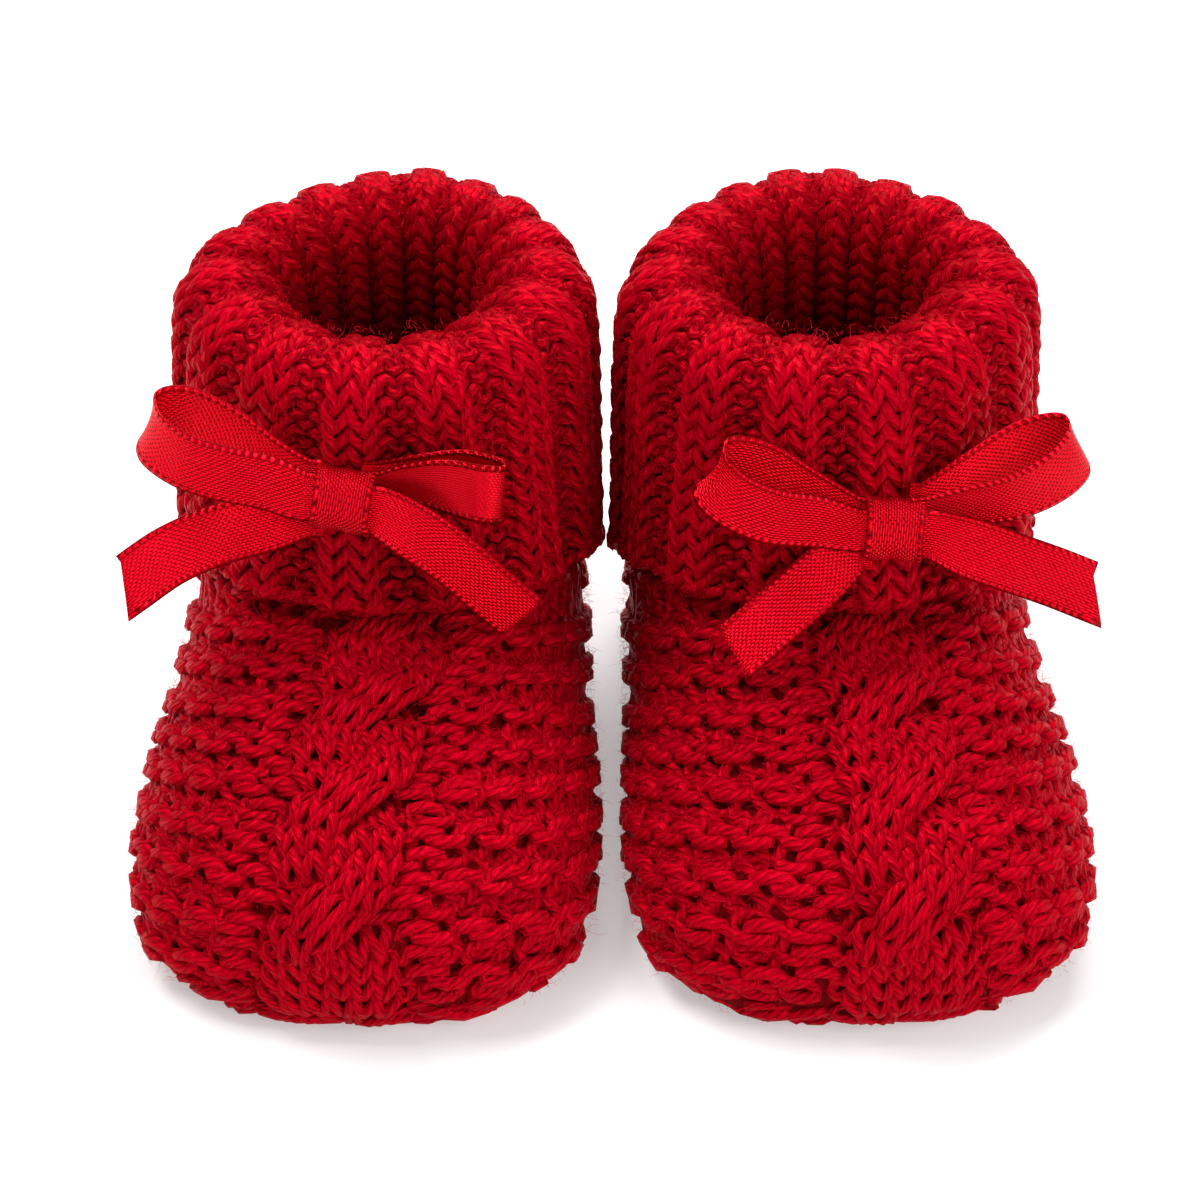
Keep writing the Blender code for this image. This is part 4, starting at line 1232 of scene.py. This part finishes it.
# ---------------------------------------------------------------- materials
YARN_SHADER = {
    "Roughness": 0.40,
    "Metallic": 0.28,
    "Specular IOR Level": 0.04,
    "Specular Tint": (1.0, 0.10, 0.16, 1.0),
    "Sheen Weight": 0.08,
    "Sheen Roughness": 0.35,
    "Sheen Tint": (1.0, 0.01, 0.03, 1.0),
}
GAP_SHADE_SHADER = {"Roughness": 0.9, "Specular IOR Level": 0.05}
FUZZ_SHADER = {"Roughness": 0.6, "Specular IOR Level": 0.0}
SATIN_SHADER = {
    "Metallic": 0.60,
    "Specular IOR Level": 0.6,
    "Specular Tint": (1.0, 0.06, 0.09, 1.0),
}
GLOWING_FLOOR_SHADER = {
    "Base Color": (0.62, 0.62, 0.62, 1.0),
    "Roughness": 0.8,
    "Specular IOR Level": 0.0,
    # the floor glows a little: painted light that lifts the shadows on it and lights the booties from
    # below
    "Emission Color": (1.0, 1.0, 1.0, 1.0),
    "Emission Strength": 0.34,
}
FLOAT_WIDTH, FLOAT_LENGTH = 0.34, 0.78     # of the satin's weave
SELVEDGE_FROM, SELVEDGE_MIDDLE = 2.95, 3.35    # from the ribbon's middle
PICK_LENGTH = 1.02         # of the selvedge


def new_material(name, constants):
    """A material and its nodes, with constants on its shader's own sockets."""
    finish = bpy.data.materials.new(name)
    finish.use_nodes = True
    for socket, value in constants.items():
        shader_socket(finish.node_tree, socket).default_value = value
    return finish, finish.node_tree


def shader_socket(tree, name):
    return tree.nodes["Principled BSDF"].inputs[name]


def maths(tree, operation, *values):
    """Output of a maths node on numbers and on other nodes' outputs."""
    node = tree.nodes.new("ShaderNodeMath")
    node.operation = operation
    for socket, value in zip(node.inputs, values):
        if isinstance(value, (int, float)):
            socket.default_value = value
        else:
            tree.links.new(value, socket)
    return node.outputs[0]


def noise(tree, place, scale, detail=2.0):
    node = tree.nodes.new("ShaderNodeTexNoise")
    node.inputs["Scale"].default_value = scale
    node.inputs["Detail"].default_value = detail
    tree.links.new(place, node.inputs["Vector"])
    return node.outputs[0]


def object_place(tree):
    return tree.nodes.new("ShaderNodeTexCoord").outputs["Object"]


def yarn_place(tree):
    """A piece's texture place, and its two values: along, and round the yarn or over the ribbon."""
    uv = tree.nodes.new("ShaderNodeUVMap")
    uv.uv_map = "yarn"
    split = tree.nodes.new("ShaderNodeSeparateXYZ")
    tree.links.new(uv.outputs[0], split.inputs[0])
    return uv.outputs[0], split.outputs[0], split.outputs[1]


def colour_between(tree, share, dark, light):
    mix = tree.nodes.new("ShaderNodeMix")
    mix.data_type = "RGBA"
    mix.inputs[6].default_value = (*dark, 1.0)
    mix.inputs[7].default_value = (*light, 1.0)
    tree.links.new(share, mix.inputs[0])
    tree.links.new(mix.outputs[2], shader_socket(tree, "Base Color"))


def raise_surface(tree, height, distance, strength=1.0):
    bump = tree.nodes.new("ShaderNodeBump")
    bump.inputs["Strength"].default_value = strength
    bump.inputs["Distance"].default_value = distance
    tree.links.new(height, bump.inputs["Height"])
    tree.links.new(bump.outputs[0], shader_socket(tree, "Normal"))


def ply_group():
    """Twisted plies and fine fibres along a yarn whose running length is in the texture map."""
    group = bpy.data.node_groups.new("plied yarn", "ShaderNodeTree")
    for name, value in (("Plies", 6.0), ("Twist length", 9.0), ("Fibre", 0.7)):
        socket = group.interface.new_socket(name, in_out="INPUT", socket_type="NodeSocketFloat")
        socket.default_value = value
    for name in ("Height", "Groove", "Tone"):
        group.interface.new_socket(name, in_out="OUTPUT", socket_type="NodeSocketFloat")
    plies, twist_length, fibre = group.nodes.new("NodeGroupInput").outputs[:3]
    place, along, turned = yarn_place(group)
    strand = maths(group, "SUBTRACT", maths(group, "DIVIDE", along, twist_length), turned)
    strand = maths(group, "MULTIPLY_ADD", noise(group, place, 0.35), 0.22, strand)
    ply = maths(group, "MULTIPLY", strand, plies)
    wave = maths(group, "SINE", maths(group, "MULTIPLY", ply, math.pi))
    round_ply = maths(group, "POWER", maths(group, "MULTIPLY", wave, wave), 0.7)
    # fibres run along the plies
    fibre_place = group.nodes.new("ShaderNodeCombineXYZ")
    group.links.new(maths(group, "MULTIPLY", along, 0.5), fibre_place.inputs[0])
    group.links.new(maths(group, "MULTIPLY", ply, 2.6), fibre_place.inputs[1])
    tone = noise(group, fibre_place.outputs[0], 1.5, 3.0)
    height = maths(group, "MULTIPLY_ADD", round_ply, 0.6, maths(group, "MULTIPLY", tone, fibre))
    leave = group.nodes.new("NodeGroupOutput")
    for socket, value in zip(leave.inputs, (height, round_ply, tone)):
        group.links.new(value, socket)
    return group


def yarn_material(name, dark, light, plies, relief, groove, hollow=0.0):
    """Plied yarn with painted shade: darker between its plies by groove, and deep in the knitting by
    hollow.
    """
    finish, tree = new_material(name, YARN_SHADER)
    ply = tree.nodes.new("ShaderNodeGroup")
    ply.node_tree = plies
    raise_surface(tree, ply.outputs["Height"], relief)
    blotches = noise(tree, object_place(tree), 160.0)
    # painted shade: the colour is darker in the grooves between the plies
    tone = maths(tree, "MULTIPLY_ADD", ply.outputs["Groove"], groove, -0.28 - 0.4 * groove)
    tone = maths(tree, "MULTIPLY_ADD", ply.outputs["Tone"], 1.30, tone)
    tone = maths(tree, "MULTIPLY_ADD", blotches, 0.25, tone)
    # painted shade: yarn that lies deep in the knitting, with low openness, is darker by hollow
    if hollow:
        openness = tree.nodes.new("ShaderNodeAttribute")
        openness.attribute_name = "openness"
        tone = maths(tree, "SUBTRACT", tone, hollow)
        tone = maths(tree, "MULTIPLY_ADD", openness.outputs["Fac"], hollow, tone)
    colour_between(tree, tone, dark, light)
    return finish


def gap_shade_material(name, colour):
    """Dark matt shell with a fine grain under the stitches: painted shade in the gaps between them.
    """
    finish, tree = new_material(name, GAP_SHADE_SHADER)
    grain = noise(tree, object_place(tree), 900.0, 3.0)
    raise_surface(tree, grain, 0.0006, 0.8)
    colour_between(tree, grain, [0.4 * value for value in colour], colour)
    return finish


def fuzz_material():
    finish, tree = new_material("fuzz", FUZZ_SHADER)
    blotches = noise(tree, object_place(tree), 400.0)
    # the fibres run up to a red lighter than the yarn's, as painted sheen; the blotches vary their
    # tone at random
    colour_between(tree, blotches, (0.25, 0.0, 0.004), (0.85, 0.02, 0.04))
    return finish


def satin_material(name, dark, light, roughness, weave):
    """Woven satin ribbon: short staggered floats, and a picked selvedge along each edge, with painted
    shade in the weave's low gaps.
    """
    finish, tree = new_material(name, {**SATIN_SHADER, "Roughness": roughness})

    def sums(operation, *values):
        return maths(tree, operation, *values)

    def humps(value):
        return sums("ABSOLUTE", sums("SINE", sums("MULTIPLY", value, math.pi)))

    place, along, across = yarn_place(tree)
    # floats
    lane = sums("DIVIDE", across, FLOAT_WIDTH)
    stagger = sums("MULTIPLY", sums("FLOOR", lane), 0.47)
    beat = sums("MULTIPLY_ADD", along, 1.0 / FLOAT_LENGTH, stagger)
    beat = sums("MULTIPLY_ADD", noise(tree, place, 1.1), 0.7, beat)
    floats = sums("MULTIPLY", sums("POWER", humps(lane), 0.45), sums("POWER", humps(beat), 0.5))
    floats = sums("MULTIPLY_ADD", floats, weave, 1.0 - weave)
    # selvedge
    rim = sums("ABSOLUTE", across)
    in_rim = sums("GREATER_THAN", rim, SELVEDGE_FROM)
    tick = sums("SINE", sums("MULTIPLY", along, 2.0 * math.pi / PICK_LENGTH))
    tick = sums("MULTIPLY_ADD", tick, 0.5, 0.5)
    cord = sums("MULTIPLY", sums("SUBTRACT", rim, SELVEDGE_MIDDLE), 2.6)
    cord = sums("MAXIMUM", sums("SUBTRACT", 1.0, sums("ABSOLUTE", cord)), 0.0)
    edge = sums("MULTIPLY", sums("MULTIPLY", tick, cord), 1.7)
    body = sums("MULTIPLY", floats, sums("SUBTRACT", 1.0, in_rim))
    height = sums("MULTIPLY_ADD", edge, in_rim, body)
    raise_surface(tree, height, 0.00020)
    # the colour follows the weave's height: low gaps between floats and picks are painted darker, as
    # shade
    colour_between(tree, height, dark, light)
    return finish


# ---------------------------------------------------------------- the pair
def dress_bootie(side, finishes):
    """All pieces of one bootie, with its two dark shells of painted shade under the stitches."""
    foot = foot_form(side)
    cuff = cuff_form(side)
    cuff_knitting = knit_cuff(side, cuff, finishes["cuff"], finishes["inside"])
    foot_knitting = knit_foot(side, foot_rounds(foot), finishes["foot"])
    cuff_shade_shell = cuff_gap_shade(side, cuff, finishes["cuff_gap_shade"])
    foot_shade_shell = foot_gap_shade(side, foot, finishes["foot_gap_shade"])
    seed = 5 if side == "left" else 7
    cuff_fuzz = fuzz(f"{side}_cuff_fuzz", side, cuff["points"][:, FUZZY_BAND],
                     cuff["normals"][:, FUZZY_BAND], 1.0, CUFF_ROOTS, finishes["fuzz"],
                     seed)
    points = foot["points"]
    seen = ~hidden_by_cuff(points.reshape(-1, 3)).reshape(points.shape[:2])
    foot_fuzz = fuzz(f"{side}_foot_fuzz", side, points, foot["normals"],
                     seen & (points[..., 2] > FUZZY_FROM), FOOT_ROOTS, finishes["fuzz"],
                     seed + 1)
    centre = knot_centre(side)
    bow = [knot_piece(side, centre, finishes["knot"])]
    for part, rows in RIBBONS[side].items():
        cut = TAIL_CUTS[side].get(part, 0.0)
        face = finishes["smooth_ribbon" if (side, part) == ("left", "loop_right") else "ribbon"]
        bow.append(ribbon_piece(side, part, rows, cut, centre, face))


# ---------------------------------------------------------------- floor, camera and light (m)
CAMERA_HEIGHT = 40.0       # degrees above the floor
CAMERA_AWAY = 0.680
FIELD = 2.0 * math.atan(600.0 / (8.0 * 680.0))     # 600 pixels to each side, 8 for each mm
AIM_SHIFT = (-0.0015, -0.0040)     # the aim's place from the pair's middle, across and up the view
LIGHTS = (  # name, place, aim, size, power
    ("key", (-0.38, 0.06, 0.72), (0.0, 0.0, 0.02), (0.35, 0.35), 4.8),
    ("back", (0.10, 0.48, 0.60), (0.0, 0.0, 0.03), (0.5, 0.3), 6.2),
    ("fill", (0.62, -0.42, 0.48), (0.0, 0.0, 0.03), (0.5, 0.5), 3.1),
    ("front", (0.10, -0.80, 0.42), (0.0, 0.0, 0.04), (0.25, 0.25), 1.1),
    ("low", (0.70, -0.60, 0.12), (0.0, 0.0, 0.04), (0.25, 0.25), 1.2),
)


def set_stage():
    clear_selection()
    bpy.ops.mesh.primitive_plane_add(size=3.0, location=(0.0, 0.0, 0.0))
    floor = bpy.context.active_object
    floor.name = "floor"
    floor.data.materials.append(new_material("pale glowing floor", GLOWING_FLOOR_SHADER)[0])


def set_camera():
    tilt = math.radians(CAMERA_HEIGHT)
    back = Vector((0.0, -math.cos(tilt), math.sin(tilt)))
    right = Vector((1.0, 0.0, 0.0))
    up = back.cross(right)
    aim = Vector((0.0, 0.0, 0.035)) + right * AIM_SHIFT[0] + up * AIM_SHIFT[1]
    data = bpy.data.cameras.new("view")
    data.sensor_fit = "HORIZONTAL"
    data.angle = FIELD
    data.clip_start = 0.01
    data.clip_end = 20.0
    camera = bpy.data.objects.new("view", data)
    camera.location = aim + back * CAMERA_AWAY
    camera.rotation_euler = (math.radians(90.0 - CAMERA_HEIGHT), 0.0, 0.0)
    bpy.context.scene.collection.objects.link(camera)
    bpy.context.scene.camera = camera


def area_light(name, place, aim, size, power):
    data = bpy.data.lights.new(name, "AREA")
    data.shape = "RECTANGLE"
    data.size = size[0]
    data.size_y = size[1]
    data.energy = power
    lamp = bpy.data.objects.new(name, data)
    lamp.location = place
    lamp.rotation_euler = (Vector(aim) - Vector(place)).to_track_quat("-Z", "Y").to_euler()
    bpy.context.scene.collection.objects.link(lamp)


def set_light():
    world = bpy.data.worlds.new("studio")
    world.use_nodes = True
    background = world.node_tree.nodes["Background"]
    background.inputs[0].default_value = (1.0, 1.0, 1.0, 1.0)
    background.inputs[1].default_value = 0.49
    bpy.context.scene.world = world
    for light in LIGHTS:
        area_light(*light)


def main():
    plies = ply_group()
    finishes = {
        "foot": yarn_material("foot yarn", (0.055, 0.0, 0.001), (0.66, 0.0, 0.014), plies,
                              relief=0.00024, groove=0.26),
        # the cuff's yarn is painted darker where it lies deep in the knitting, as shade
        "cuff": yarn_material("cuff yarn", (0.050, 0.0, 0.001), (0.68, 0.0, 0.014), plies,
                              relief=0.00017, groove=0.18, hollow=0.32),
        # painted shade: the yarn inside the neck is a darker copy of the cuff's yarn, for the shade
        # in the ankle's opening
        "inside": yarn_material("cuff yarn inside painted darker", (0.05, 0.0, 0.001), (0.42, 0.0, 0.007), plies,
                                relief=0.00012, groove=0.12),
        # dark shells under the stitches, painted shade in the gaps between them
        "foot_gap_shade": gap_shade_material("foot gap shade", (0.17, 0.0, 0.002)),
        "cuff_gap_shade": gap_shade_material("cuff gap shade", (0.15, 0.0, 0.002)),
        "fuzz": fuzz_material(),
        "ribbon": satin_material("satin ribbon", (0.22, 0.0, 0.003), (1.0, 0.002, 0.018),
                                 roughness=0.25, weave=1.0),
        "smooth_ribbon": satin_material("smooth satin", (0.18, 0.0, 0.002), (0.54, 0.001, 0.008),
                                        roughness=0.20, weave=0.25),
        # painted shade: the knot is a darker copy of the ribbon's satin
        "knot": satin_material("satin knot painted darker", (0.18, 0.0, 0.003), (0.78, 0.002, 0.013),
                               roughness=0.25, weave=1.0),
    }
    for side in ("left", "right"):
        dress_bootie(side, finishes)
    set_stage()
    set_light()
    set_camera()
    bpy.context.scene.view_settings.view_transform = "Standard"


main()
